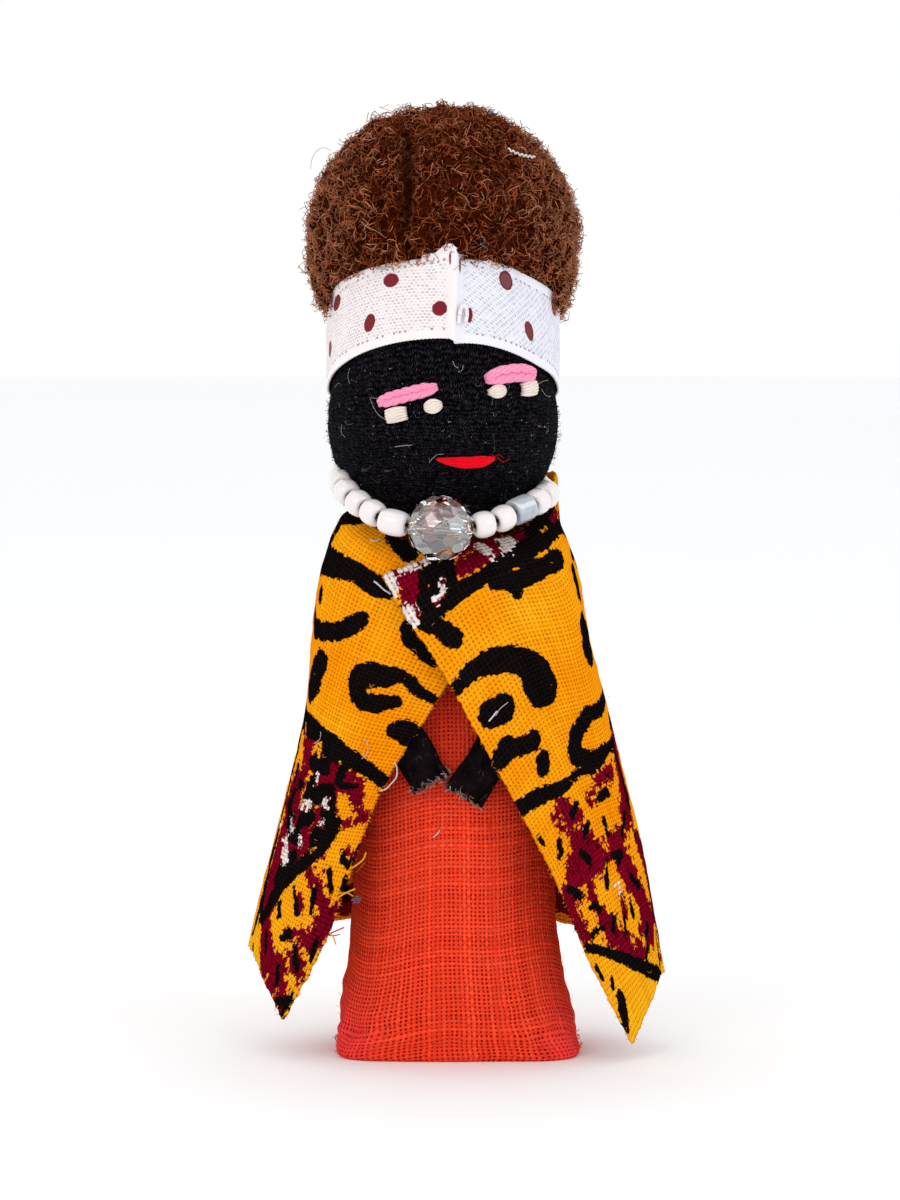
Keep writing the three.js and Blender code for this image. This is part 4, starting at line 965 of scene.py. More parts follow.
def build_ply_group():
    """Fine strands that run slanted round a thread."""
    g, given, made = group_tree("Twisted strands", "ShaderNodeTree", [
        ("Around", FLOAT, 0.0), ("Along", FLOAT, 0.0), ("Strands", FLOAT, 4.0), ("Slant", FLOAT, 1.0)],
        [("Height", FLOAT), ("Strand", FLOAT)])
    spot = g.vector(given["Around"], given["Along"])
    waver = (g.noise(spot, 3.0, 2.0) - 0.5) * 0.8
    count = given["Around"] * given["Strands"] + (given["Along"] * given["Slant"] + waver)
    g.feed(made["Height"], abs(g.math("SINE", count * math.pi)))
    g.feed(made["Strand"], g.white(g.math("FLOOR", count), 0.0, 0.0))


def new_material(name, fixed=None):
    """A material, its graph and its shader's sockets, of which fixed keep one value all over."""
    material = bpy.data.materials.new(name)
    material.use_nodes = True
    put = next(n for n in material.node_tree.nodes if n.type == "BSDF_PRINCIPLED").inputs
    for key, value in (fixed or {}).items():
        put[key].default_value = value
    return material, Graph(material.node_tree), put


def deep(colour, factor):
    return tuple(c * factor for c in colour[:3]) + (1.0,)


def rgba(colour):
    return tuple(colour[:3]) + (1.0,)


def dress_material(look):
    """Open plain weave of loosely spun red-orange thread."""
    material, g, put = new_material("Dress cloth", {
        "Roughness": 0.9, "Sheen Weight": 0.3, "Sheen Roughness": 0.35,
        "Sheen Tint": (1.0, 0.16, 0.07, 1.0), "Specular IOR Level": 0.0})
    across, along = g.cloth()
    weave = use_group(g, "Plain weave", {
        "Across": across, "Along": along, "Pitch": look.thread / MM, "Fullness": 0.315, "Waver": 0.14,
        "Uneven": 0.27})
    fade, fuzz = g.fuzz(70.0, 3600.0)
    slub_spot = g.vector(across * 0.16, along * 1.3)
    slub = g.span(g.noise(slub_spot, 1.0, 2.0), 0.5, 0.75)
    stand_spot = g.vector(across * 1.3, along * 0.16)
    slub = g.math("MAXIMUM", slub, g.span(g.noise(stand_spot, 1.0, 2.0), 0.55, 0.8))
    base = g.mix(fade, rgba(look.cloth), rgba(look.cloth_light))
    # painted highlight: the crowns of the threads are mixed toward the paler slub colour
    crown = g.span(weave["Height"], 0.8, 1.4) * 0.5
    base = g.mix(g.math("MAXIMUM", slub * 0.55, crown), base, rgba(look.slub))
    shade = weave["Tone"] * 0.3 + fuzz * 0.5
    base = g.mix(g.span(shade, 0.1, 0.6), deep(look.cloth, 0.7), base)
    # painted shade: the gaps between the threads are mixed toward the dark gap colour
    gap = weave["Gap"] * (1.0 - slub * 0.3)
    gap = gap * g.span(g.noise(g.place(), 110.0, 2.0), 0.3, 0.55, 0.85, 1.0)
    # the dye runs toward pink near the hem at both sides, and painted shadow darkens the top near the neck
    spread = g.split(g.place())
    side = g.span(abs(spread[0]), 0.01, 0.0178)
    pink = g.span(spread[2], 0.014, 0.003) * side
    # painted shadow under the shawl's collar and the crystal: darker toward the neck
    base = g.mix(g.span(spread[2], 0.038, 0.058, 0.0, 0.55), base, deep(look.cloth, 0.55))
    base = g.mix(pink * 0.6, base, (1.0, 0.05, 0.075, 1.0))
    # painted shade in the gaps, over the cloth colour
    g.feed(put["Base Color"], g.mix(gap, base, rgba(look.gap)))
    height = weave["Height"] + fuzz * 0.5
    g.feed(put["Normal"], g.bump(height, 0.00018, 0.8))
    return material


def shawl_material(look):
    """Thin printed cotton: the colours end along the threads."""
    material, g, put = new_material("Printed cotton", {"Roughness": 0.8, "Specular IOR Level": 0.0})
    across, along = g.cloth()
    weave = use_group(g, "Plain weave", {
        "Across": across, "Along": along, "Pitch": look.thread / MM, "Fullness": 0.375, "Waver": 0.09,
        "Uneven": 0.2})
    fade, fuzz = g.fuzz(80.0, 4200.0)
    # paler in slow uneven patches and toward the lower ends of the cloth
    pale = g.math("MAXIMUM", fade * 0.7, g.span(along, 44.0, 72.0))
    gold = g.mix(pale, rgba(look.gold), rgba(look.pale_gold_and_highlight))
    gold = g.mix(weave["Tone"] * 0.4, gold, deep(look.gold, 0.8))
    # painted highlight: the tops of the threads are lighter
    thread_top_highlight = g.span(weave["Height"], 0.9, 1.35) * g.span(fuzz, 0.45, 0.62)
    colour = g.mix(thread_top_highlight * 0.5, gold, rgba(look.pale_gold_and_highlight))
    spot = g.vector(across, along)
    blotch = g.span(g.noise(spot, 0.75, 3.0, 0.6), 0.56, 0.66)
    for field, paint, rough in (
            ("wine", look.wine, 1.15), ("ink", look.ink, 0.6), ("white", look.white, 1.3)):
        edge = g.attribute(field) + weave["Edge"] * rough
        if field == "wine":
            edge = edge + (g.noise(spot, 1.3, 2.0) - 0.5) * 2.4
        # painted highlight: the print is lighter on the thread tops
        mottle = g.mix(thread_top_highlight * 0.8, g.mix(weave["Tone"], rgba(paint), deep(paint, 0.6)),
                       deep(paint, 2.2 if field != "white" else 1.1))
        if field == "wine":
            mottle = g.mix(blotch * 0.7, mottle, deep(look.wine, 0.16))
        colour = g.mix(g.span(edge, 0.05, -0.05), colour, mottle)
    # painted shade: the low places of the weave are darkened toward the gap colour
    shade = weave["Height"] * 0.5 + fuzz * 0.6
    colour = g.mix(g.span(shade, 0.75, 0.1, 0.0, 0.4), colour, deep(look.gap, 1.0), mode="MULTIPLY")
    # painted shade: the gaps between the threads are darkened
    g.feed(put["Base Color"],
           g.mix(weave["Gap"] * 0.75, colour, g.mix(0.9, colour, rgba(look.gap), mode="MULTIPLY")))
    height = weave["Height"] + fuzz * 0.4
    g.feed(put["Normal"], g.bump(height, 0.00014, 0.9))
    return material


def head_material(look):
    """Near-black fine knit: rows of small loops with painted highlight on their tops, painted shade between
    them, and dust on the tops.
    """
    material, g, put = new_material("Black knit", {"Roughness": 0.8, "Specular IOR Level": 0.01})
    across, along = g.cloth()
    spot = g.vector(across, along)
    drift = g.noise(spot, 0.55, 3.0) - 0.5
    wale = across / (look.wale / MM) + drift * 3.0
    bend = abs(g.math("FRACT", wale) - 0.5)
    course = along / (look.course / MM) + (bend * 1.5 + drift * 2.6)
    leg = abs(g.math("SINE", course * math.pi))
    rib = abs(g.math("SINE", wale * (2 * math.pi)))
    loops = leg ** 0.7 * (0.35 + rib * 0.65)
    fuzz = g.fuzz(120.0, 2600.0)[1]
    crumple = g.noise(g.place(), 1500.0, 2.0)
    height = loops * 1.0 + (fuzz * 0.9 + crumple * 1.3)
    # painted highlight and shade: the loop tops are painted lighter and the low places near black
    top = g.span(height, 1.3, 2.25) ** 2.4
    colour = g.mix(top, deep(look.knit, 0.02), deep(look.knit, 1.9))
    # dust on the loop tops, which also stands in as painted highlight
    dust_and_highlight = g.span(g.noise(g.place(), 900.0, 3.0, 0.7), 0.6, 0.75) * (top * 0.4)
    colour = g.mix(dust_and_highlight, colour, rgba(look.dust_and_highlight))
    g.feed(put["Base Color"], colour)
    g.feed(put["Normal"], g.bump(height, 0.00026, 1.0))
    return material


def ribbon_material(look):
    """Close-woven white ribbon with a row of holes inside each edge and satin dots."""
    material, g, put = new_material("Ribbon", {"Sheen Weight": 0.05, "Specular IOR Level": 0.2})
    across, along = g.cloth()
    fine = use_group(g, "Plain weave", {
        "Across": across, "Along": along, "Pitch": 0.36, "Fullness": 0.5, "Waver": 0.1})
    fade, fuzz = g.fuzz(160.0, 5000.0)
    spot = g.vector(across, along)
    skew = across * g.span(across, -2.0, 4.0, 0.06, 0.42)
    row = (along + skew) / 0.46 + g.noise(spot, 0.6, 1.0) * 0.8
    level = g.math("FLOOR", row)
    column = across / 0.66 + level * 0.5
    slit = ((g.math("FRACT", column) - 0.5) / 0.36) ** 2.0 + ((g.math("FRACT", row) - 0.5) / 0.3) ** 2.0
    strength = g.span(g.white(level, g.math("FLOOR", column), 5.0), 0.0, 0.8, 0.35, 1.0)
    slits = g.span(slit, 1.4, 0.4) * strength * g.span(g.noise(spot, 0.3, 2.0), 0.3, 0.5, 0.45, 1.0)
    ridge = g.span(abs(across - 1.5), 0.9, 1.6)
    rim = g.span(abs(along), BAND_WIDTH / 2 - 1.1, BAND_WIDTH / 2 - 1.5)
    slits = slits * (ridge * rim)
    inset = abs(abs(along) - (BAND_WIDTH / 2 - 1.35))
    count = across / 0.96 + g.noise(spot, 0.2, 1.0) * 1.2
    hole = abs(g.math("FRACT", count) - 0.5)
    there = g.math("GREATER_THAN", g.white(g.math("FLOOR", count), g.math("SIGN", along), 0.0), 0.22)
    hole = (hole / 0.2) ** 2.0 + (inset / 0.16) ** 2.0
    hole = g.span(hole, 1.4, 0.5) * there * ridge
    colour = g.mix(fade * 0.4, rgba(look.ribbon), deep(look.ribbon, 0.93))
    # painted light: the right part of the ribbon, lit by the cool lamp, is painted bluish
    cool = g.span(across, 0.8, 2.2) * g.span(across, 50.0, 28.0)
    colour = g.mix(cool * 0.6, colour, (0.78, 0.81, 0.93, 1.0))
    # painted shade in the slits between the threads, bluish on the right as painted cool light
    colour = g.mix(slits * 0.7, colour, g.mix(cool, rgba(look.slit), (0.36, 0.4, 0.5, 1.0)))
    # painted shade in the row of holes
    colour = g.mix(hole * 0.7, colour, rgba(look.hole))
    dot = g.attribute("dot")
    grey = g.attribute("grey")
    # painted highlight and shade: the dots' satin threads are lighter on their crowns and darker between them
    satin = abs(g.math("SINE", (along + g.noise(spot, 2.2, 2.0) * 0.9) * (math.pi / 0.3)))
    thread = g.mix(satin * (1.0 - grey), deep(look.dot, 0.55), rgba(look.dot))
    thread = g.mix(grey * g.span(dot, -0.22, -0.3), thread, rgba(look.worn_dot))
    ragged = fine["Edge"] * 0.1
    mask = g.span(dot + ragged, 0.03, -0.05)
    g.feed(put["Base Color"], g.mix(mask, colour, thread))
    g.feed(put["Roughness"], g.span(mask, 0.0, 1.0, 0.8, 0.38))
    height = fuzz * 0.4 - slits * 1.2
    height = height - hole * 1.5 + mask * (0.5 + satin * 0.8)
    g.feed(put["Normal"], g.bump(height, 0.0001, 0.8))
    return material


def thread_material(name, light, dark, slant=2.2, strands=5.0, rough=0.55, sheen=0.05):
    """Spun thread whose fine strands run round it."""
    material, g, put = new_material(name, {
        "Roughness": rough, "Sheen Weight": sheen, "Specular IOR Level": 0.03})
    around, along = g.cloth()
    ply = use_group(g, "Twisted strands", {
        "Around": around, "Along": along, "Strands": strands, "Slant": slant})
    fuzz = g.fuzz(500.0, 6000.0)[1]
    # painted highlight and shade: the strands are painted lighter on their crowns and darker between them
    lit = ply["Height"] * 0.65 + fuzz * 0.45
    colour = g.mix(g.span(lit, 0.2, 0.85), rgba(dark), rgba(light))
    colour = g.mix(ply["Strand"] * 0.25, colour, deep(light, 0.85))
    g.feed(put["Base Color"], g.mix(g.attribute("tone") * 0.3, colour, rgba(dark)))
    g.feed(put["Normal"], g.bump(ply["Height"] + fuzz, 8e-05, 0.8))
    return material


def fibre_material(name, dark, middle, light, rough=0.6, parting=0.0):
    """Loose fibres, each with its own shade between dark and light."""
    material, g, put = new_material(name, {"Roughness": rough, "Specular IOR Level": 0.02})
    tone = g.attribute("tone")
    spots = g.noise(g.place(), 420.0, 3.0, 0.6)
    low = g.mix(g.span(tone, 0.0, 0.8), rgba(dark), rgba(middle))
    colour = g.mix(g.span(tone, 0.8, 1.0), low, rgba(light))
    colour = g.mix(g.span(spots, 0.42, 0.66, 0.0, 0.75), colour, deep(dark, 0.8))
    if parting:
        spread = g.split(g.place())
        beside = abs(spread[0] - (PARTING_X + SHIFT[0]) * MM)
        # painted shade: the fibres in the parting at the front are painted darker
        inside = g.span(beside, 0.0019, 0.0003) * g.span(spread[1], -0.006, -0.011)
        inside = inside * g.span(spread[2], 0.122, 0.128)
        colour = g.mix(inside * parting, colour, deep(dark, 0.3))
        # painted light: the fibres toward the left and right of the puff are painted lighter
        side = g.span(abs(spread[0] + 0.002), 0.01, 0.02)
        colour = g.mix(side * 0.3, colour, rgba(light))
    g.feed(put["Base Color"], colour)
    return material


def hair_base_material(look):
    """The dark inside of the fleece, where the curls shade each other."""
    material, g, put = new_material("Fleece inside", {"Roughness": 0.9, "Specular IOR Level": 0.0})
    place = g.place()
    drift = g.out("ShaderNodeTexNoise", {"Vector": place, "Scale": 500.0}, "Color")
    moved = g.out("ShaderNodeMix", {0: 0.0016, 4: place, 5: drift}, 1, data_type="VECTOR")
    curls = g.out("ShaderNodeTexVoronoi", {"Vector": moved, "Scale": 700.0}, feature="DISTANCE_TO_EDGE")
    fuzz = g.noise(place, 2200.0, 3.0, 0.7)
    lit = g.span(curls, 0.25, 0.0) * 0.6 + fuzz * 0.5
    g.feed(put["Base Color"], g.mix(g.span(lit, 0.25, 0.95), rgba(look.shade), rgba(look.dark)))
    g.feed(put["Normal"], g.bump(lit, 0.0006, 1.0))
    return material


def bead_material(look):
    """Glossy opal glass, a little different from bead to bead."""
    material, g, put = new_material("White glass", {
        "Coat Weight": 1.0, "Coat Roughness": 0.03, "Subsurface Weight": 0.05,
        "Subsurface Radius": (0.0012, 0.0009, 0.0008), "Subsurface Scale": 1.0})
    tone = g.attribute("tone")
    cloud = g.span(g.noise(g.place(), 420.0, 3.0), 0.35, 0.7)
    colour = g.mix(tone, rgba(look.white), rgba(look.white_pink))
    g.feed(put["Base Color"], g.mix(cloud * 0.25, colour, deep(look.white, 0.9)))
    g.feed(put["Roughness"], g.span(g.noise(g.place(), 900.0, 2.0), 0.3, 0.8, 0.05, 0.1))
    return material


def grey_bead_material(look):
    """Pearly grey-blue glass with streaks along the bead, a painted highlight band on its upper side and
    painted shade underneath.
    """
    material, g, put = new_material("Pearl grey glass", {
        "Coat Weight": 0.8, "Coat Roughness": 0.03, "Subsurface Weight": 0.3,
        "Subsurface Radius": (0.0015, 0.0015, 0.0016), "Subsurface Scale": 1.0})
    around, along = g.cloth()
    spot = g.vector(around * 9.0, along)
    streak = g.span(g.noise(spot, 0.8, 1.0), 0.3, 0.75, 0.15, 0.75)
    colour = g.mix(streak, rgba(look.grey), rgba(look.grey_light))
    # painted highlight: a pale band where the bead's surface faces partway up
    facing = g.split(g.out("ShaderNodeTexCoord", pick="Normal"))
    band = g.span(abs(facing[2] - 0.42), 0.2, 0.1)
    # painted shade: darker on the underside
    low = g.span(facing[2], 0.1, -0.7)
    colour = g.mix(low * 0.3, colour, deep(look.grey, 0.6))
    g.feed(put["Base Color"], g.mix(band * 0.6, colour, (0.8, 0.84, 0.88, 1.0)))
    g.feed(put["Roughness"], g.span(streak, 0.0, 1.0, 0.08, 0.14))
    return material


def crystal_material(look):
    """Clear cut glass with a trace of smoke, hair-fine scratches, and facets tinted as painted reflections.
    """
    material, g, put = new_material("Cut crystal", {
        "Transmission Weight": 1.0, "Coat Weight": 1.0, "Coat IOR": 2.0, "Coat Roughness": 0.0,
        "IOR": 1.68})
    cloud = g.span(g.noise(g.place(), 260.0, 3.0), 0.3, 0.75)
    # painted reflections: the facets get dark, pink, tan and pale tints, as the surroundings would show in
    # clear glass
    facet = g.attribute("facet")
    tint = g.mix(g.span(facet, 0.50, 0.52), (0.99, 0.91, 0.85, 1.0), (0.10, 0.11, 0.14, 1.0))
    tint = g.mix(g.span(facet, 0.66, 0.68), tint, (0.72, 0.20, 0.25, 1.0))
    tint = g.mix(g.span(facet, 0.8, 0.84), tint, (0.88, 0.56, 0.30, 1.0))
    tint = g.mix(cloud * 0.1, tint, rgba(look.crystal))
    leaving = g.out("ShaderNodeNewGeometry", pick="Backfacing")
    g.feed(put["Base Color"], g.mix(leaving, tint, (1.0, 0.94, 0.90, 1.0)))
    scratch = g.noise(g.place(), 5200.0, 2.0)
    g.feed(put["Roughness"], g.span(scratch, 0.45, 0.8, 0.0, 0.03))
    return material


def arm_material(look):
    """Black glossy strip, rolled and creased lengthways."""
    material, g, put = new_material("Glossy black strip")
    around, along = g.cloth()
    spot = g.vector(around * 6.0, along * 0.22)
    crease = g.noise(spot, 1.5, 4.0, 0.6)
    grain = g.noise(g.place(), 2600.0, 3.0, 0.6)
    # lighter where the crease relief stands highest
    g.feed(put["Base Color"], g.mix(g.span(crease + grain * 0.3, 0.4, 0.95), rgba(look.strip),
                                    rgba(look.strip_crease_tops)))
    g.feed(put["Roughness"], g.span(grain, 0.3, 0.75, 0.26, 0.5))
    thin = g.vector(around * 26.0, along * 0.7)
    wrinkle = g.span(g.noise(thin, 1.0, 2.0), 0.45, 0.75) ** 2.0
    height = crease + grain * 0.12 + wrinkle * 0.5
    g.feed(put["Normal"], g.bump(height, 0.0009, 1.0))
    g.feed(put["Specular IOR Level"], g.span(height, 0.72, 1.15, 0.0, 0.9))
    return material


def floor_material(look):
    material, g, put = new_material("Pale floor", {"Roughness": 0.75, "Specular IOR Level": 0.1})
    cloud = g.noise(g.place(), 3.0, 2.0)
    g.feed(put["Base Color"], g.mix(g.span(cloud, 0.3, 0.7), rgba(look.floor), deep(look.floor, 0.99)))
    return material


# Geometry nodes


def shaded_copies(g, copies, seed):
    """Copies made real, each with a tone of its own."""
    tone = g.out("FunctionNodeRandomValue", {"Seed": seed}, 1, data_type="FLOAT")
    marked = g.add("GeometryNodeStoreNamedAttribute", {"Geometry": copies, "Name": "tone"},
                   data_type="FLOAT", domain="INSTANCE")
    g.feed(next(s for s in marked.inputs if s.name == "Value" and s.enabled), tone)
    return g.out("GeometryNodeRealizeInstances", {"Geometry": Wire(g, marked.outputs[0])})


def build_fibre_tree():
    """Curled fibres of even thickness scattered over a surface."""
    g, given, made = group_tree("Loose fibres", "GeometryNodeTree", [
        ("Geometry", "NodeSocketGeometry", None), ("Density", FLOAT, 1e6), ("Height", FLOAT, 0.003),
        ("Curl", FLOAT, 0.0008), ("Turns", FLOAT, 1.2), ("Thickness", FLOAT, 0.00015),
        ("Waver", FLOAT, 0.0006), ("Waver scale", FLOAT, 300.0), ("Lift", FLOAT, 0.0),
        ("Lean", FLOAT, 3.2), ("Steps", "NodeSocketInt", 8), ("Seed", "NodeSocketInt", 1),
        ("Material", "NodeSocketMaterial", None)], [("Geometry", "NodeSocketGeometry")])
    spread = g.wires(g.add("GeometryNodeDistributePointsOnFaces", {
        "Mesh": given["Geometry"], "Density": given["Density"], "Seed": given["Seed"]},
        distribute_method="RANDOM"))
    lift = g.out("ShaderNodeVectorMath", {0: spread["Normal"], "Scale": given["Lift"]}, operation="SCALE")
    points = g.out("GeometryNodeSetPosition", {"Geometry": spread["Points"], "Offset": lift})
    spiral = g.out("GeometryNodeCurveSpiral", {"Resolution": given["Steps"], "Rotations": given["Turns"],
                                               "Start Radius": given["Curl"], "End Radius": given["Curl"]
                                               * 0.7, "Height": given["Height"]})
    back = given["Lean"] * -1.0
    lean = g.out("FunctionNodeRandomValue", {
        0: g.vector(back, back, -math.pi), 1: g.vector(given["Lean"], given["Lean"], math.pi),
        "Seed": given["Seed"]}, data_type="FLOAT_VECTOR")
    turn = g.out("FunctionNodeRotateRotation", {
        0: spread["Rotation"], 1: g.out("FunctionNodeEulerToRotation", {0: lean})}, rotation_space="LOCAL")
    size = g.out("FunctionNodeRandomValue", {2: 0.55, 3: 1.35, "Seed": given["Seed"] + 11.0}, 1,
                 data_type="FLOAT")
    copies = g.out("GeometryNodeInstanceOnPoints", {
        "Points": points, "Instance": spiral, "Rotation": turn, "Scale": size})
    real = shaded_copies(g, copies, given["Seed"] + 5.0)
    drift = g.out("ShaderNodeTexNoise", {
        "Vector": g.out("GeometryNodeInputPosition"), "Scale": given["Waver scale"], "Detail": 1.0}, "Color")
    middle = g.out("ShaderNodeVectorMath", {0: drift, 1: (0.5, 0.5, 0.5)}, operation="SUBTRACT")
    push = g.out("ShaderNodeVectorMath", {0: middle, "Scale": given["Waver"] * 4.0}, operation="SCALE")
    moved = g.out("GeometryNodeSetPosition", {"Geometry": real, "Offset": push})
    ring = g.out("GeometryNodeCurvePrimitiveCircle", {"Resolution": 3, "Radius": given["Thickness"] * 0.5})
    skin = g.out("GeometryNodeCurveToMesh", {"Curve": moved, "Profile Curve": ring, "Fill Caps": True})
    whole = g.out("GeometryNodeRealizeInstances", {"Geometry": skin})
    g.feed(made["Geometry"], g.out("GeometryNodeSetMaterial", {
        "Geometry": whole, "Material": given["Material"]}))


def build_bead_tree():
    """One bead shape at every point, turned to the thread."""
    g, given, made = group_tree("Beads on a thread", "GeometryNodeTree", [
        ("Geometry", "NodeSocketGeometry", None), ("Bead", "NodeSocketObject", None),
        ("Material", "NodeSocketMaterial", None)], [("Geometry", "NodeSocketGeometry")])
    aim = g.out("GeometryNodeInputNamedAttribute", {"Name": "aim"}, data_type="FLOAT_VECTOR")
    copies = g.out("GeometryNodeInstanceOnPoints", {
        "Points": g.out("GeometryNodeMeshToPoints", {"Mesh": given["Geometry"]}),
        "Instance": g.out("GeometryNodeObjectInfo", {"Object": given["Bead"]}, "Geometry"),
        "Rotation": g.out("FunctionNodeAlignRotationToVector", {"Vector": aim}, axis="Z")})
    g.feed(made["Geometry"], g.out("GeometryNodeSetMaterial", {
        "Geometry": shaded_copies(g, copies, 4), "Material": given["Material"]}))


def through_nodes(mesh, tree_name, inputs):
    """The mesh that a geometry node tree makes of another."""
    holder = placed("holder", mesh)
    tree = bpy.data.node_groups[tree_name]
    modifier = holder.modifiers.new("nodes", "NODES")
    modifier.node_group = tree
    sockets = {item.name: item.identifier for item in tree.interface.items_tree if item.in_out == "INPUT"}
    for key, value in inputs.items():
        modifier[sockets[key]] = value
    bpy.context.view_layer.update()
    made = evaluated(holder)
    shade(made)
    return made


def fibres(name, mesh, material, curl=1.0, thickness=1.0, lift=0.0):
    """A piece of loose fibres over a mesh, with the sizes that FIBRES gives under its name."""
    inputs = dict(zip(FIBRE_INPUTS, FIBRES[name]), Lift=lift, Material=material)
    inputs["Curl"] *= curl
    inputs["Thickness"] *= thickness
    return new_piece(name, through_nodes(mesh, "Loose fibres", inputs), None)


def part_of(mesh, name, keep):
    """The faces of a mesh whose middle and normal, in millimetres, pass a test."""
    chosen = keep(read(mesh.polygons, "center") / MM - SHIFT, read(mesh.polygons, "normal"))
    faces = [list(p.vertices) for p, wanted in zip(mesh.polygons, chosen) if wanted]
    used = sorted({v for face in faces for v in face})
    where = {v: k for k, v in enumerate(used)}
    part = bpy.data.meshes.new(name)
    points = read(mesh.vertices, "co")[used]
    part.from_pydata(points.tolist(), [], [[where[v] for v in face] for face in faces])
    part.update()
    return part


# Sizes and colours


def length(name, description, default):
    return bpy.props.FloatProperty(name=name, description=description, default=default, min=0.0,
                                   unit="LENGTH", subtype="DISTANCE", precision=5)


def colour(name, description, default):
    return bpy.props.FloatVectorProperty(name=name, description=description, default=default, size=3,
                                         min=0.0, max=1.0, subtype="COLOR")


class DressLook(bpy.types.PropertyGroup):
    thread: length("Thread", "Distance from one thread of the weave to the next", 0.00064)
    stuffing: length("Stuffing", "How far the stuffing may push the cloth out", 0.0006)
    cloth: colour("Cloth", "Colour of the threads", (1.0, 0.042, 0.016))
    cloth_light: colour("Faded cloth", "Colour where the cloth is a little paler", (1.0, 0.06, 0.02))
    slub: colour("Slubs", "Colour of the thicker, looser spots of thread", (1.0, 0.155, 0.07))
    # gap: painted shade seen between the threads
    gap: colour("Gaps", "Colour seen between the threads", (0.2, 0.0005, 0.0))


class ShawlLook(bpy.types.PropertyGroup):
    thread: length("Thread", "Distance from one thread of the weave to the next", 0.00062)
    thickness: length("Thickness", "Thickness of the cotton", 0.00042)
    gold: colour("Gold", "Ground colour of the print", (0.92, 0.245, 0.0))
    # pale_gold_and_highlight: the ground where it is paler, and the painted highlight on the thread tops
    pale_gold_and_highlight: colour("Faded gold", "Ground colour where it is a little paler", (1.0, 0.49, 0.012))
    ink: colour("Black", "Colour of the spots", (0.006, 0.004, 0.004))
    wine: colour("Wine red", "Colour of the red areas", (0.18, 0.0014, 0.013))
    white: colour("White", "Colour of the unprinted patches", (0.85, 0.74, 0.70))
    # gap: painted shade between the threads
    gap: colour("Gaps", "Colour seen between the threads", (0.55, 0.22, 0.07))


class HeadLook(bpy.types.PropertyGroup):
    wale: length("Wale", "Width of one column of loops", 0.00058)
    course: length("Course", "Height of one row of loops", 0.0005)
    knit: colour("Knit", "Colour of the knit", (0.022, 0.019, 0.026))
    # dust on the loops, also the colour of the painted highlight on their tops
    dust_and_highlight: colour("Dust", "Colour of the dust on the loops", (0.09, 0.085, 0.095))
    lint: colour("Lint", "Colour of the palest fibres on the face", (0.50, 0.50, 0.44))


class ThreadLook(bpy.types.PropertyGroup):
    pink: colour("Pink", "Colour of the brows", (1.0, 0.40, 0.60))
    # pink_shade: painted shade between the strands, and the darker tone of some threads
    pink_shade: colour("Deep pink", "Colour between the pink strands", (0.96, 0.22, 0.41))
    ivory: colour("Ivory", "Colour of the eye stitches", (0.98, 0.88, 0.79))
    # ivory_shade: painted shade between the strands, and the darker tone of some threads
    ivory_shade: colour("Shaded ivory", "Colour between the ivory strands", (0.72, 0.58, 0.50))
    red: colour("Red", "Colour of the mouth", (0.98, 0.001, 0.016))
    # red_shade: painted shade between the strands, and the darker tone of some threads
    red_shade: colour("Deep red", "Colour between the red strands", (0.66, 0.0006, 0.008))


class HairLook(bpy.types.PropertyGroup):
    curl: length("Curl", "Radius of a curl", 0.00062)
    fibre: length("Fibre", "Thickness of a fibre", 0.00015)
    shade: colour("Shade", "Colour deep in the fleece", (0.022, 0.003, 0.0006))
    dark: colour("Dark", "Darkest fibres", (0.075, 0.011, 0.002))
    middle: colour("Brown", "Most of the fibres", (0.46, 0.113, 0.036))
    light: colour("Light", "Lightest fibres", (0.78, 0.36, 0.20))


class RibbonLook(bpy.types.PropertyGroup):
    thickness: length("Thickness", "Thickness of the ribbon", 0.00034)
    ribbon: colour("Ribbon", "Colour of the ribbon", (0.90, 0.83, 0.835))
    # the slit and hole colours are painted shade in the slits of the weave and in the row of holes
    slit: colour("Slits", "Colour between the threads", (0.48, 0.40, 0.42))
    hole: colour("Holes", "Colour in the row of holes", (0.22, 0.10, 0.10))
    dot: colour("Dots", "Colour of the satin dots", (0.25, 0.006, 0.016))
    worn_dot: colour("Worn dot", "Middle of the dot that has lost its threads", (0.20, 0.085, 0.085))


class NecklaceLook(bpy.types.PropertyGroup):
    white: colour("White glass", "Colour of the white beads", (0.83, 0.79, 0.785))
    white_pink: colour("Pinkish glass", "Colour of the pinkest beads", (0.83, 0.755, 0.75))
    grey: colour("Grey glass", "Colour of the grey bead", (0.36, 0.40, 0.44))
    grey_light: colour("Light grey glass", "Streaks in the grey bead", (0.52, 0.57, 0.62))
    crystal: colour("Crystal", "Tint of the cut glass", (0.93, 0.91, 0.88))
    thread: colour("Thread", "Colour of the black thread", (0.016, 0.014, 0.016))


class ArmLook(bpy.types.PropertyGroup):
    strip: colour("Strip", "Colour of the rolled strips", (0.0015, 0.0006, 0.0008))
    # strip_crease_tops: the colour where the creases stand highest
    strip_crease_tops: colour("Worn strip", "Colour on the worn creases", (0.012, 0.008, 0.009))
    frayed: colour("Frayed end", "Colour of the fibres at the cut ends", (0.42, 0.31, 0.27))


class StageLook(bpy.types.PropertyGroup):
    floor: colour("Floor", "Colour of the floor", (0.955, 0.97, 0.98))
    warm: bpy.props.FloatProperty(name="Warm light", description="Power of the light from the left",
                                  default=1.4, min=0.0, unit="POWER")
    cool: bpy.props.FloatProperty(name="Cool light", description="Power of the light from the right",
                                  default=1.1, min=0.0, unit="POWER")
    top: bpy.props.FloatProperty(name="Top light", description="Power of the light from above",
                                 default=0.5, min=0.0, unit="POWER")
    sky: bpy.props.FloatProperty(name="Sky", description="Strength of the even light all round",
                                 default=1.0, min=0.0)


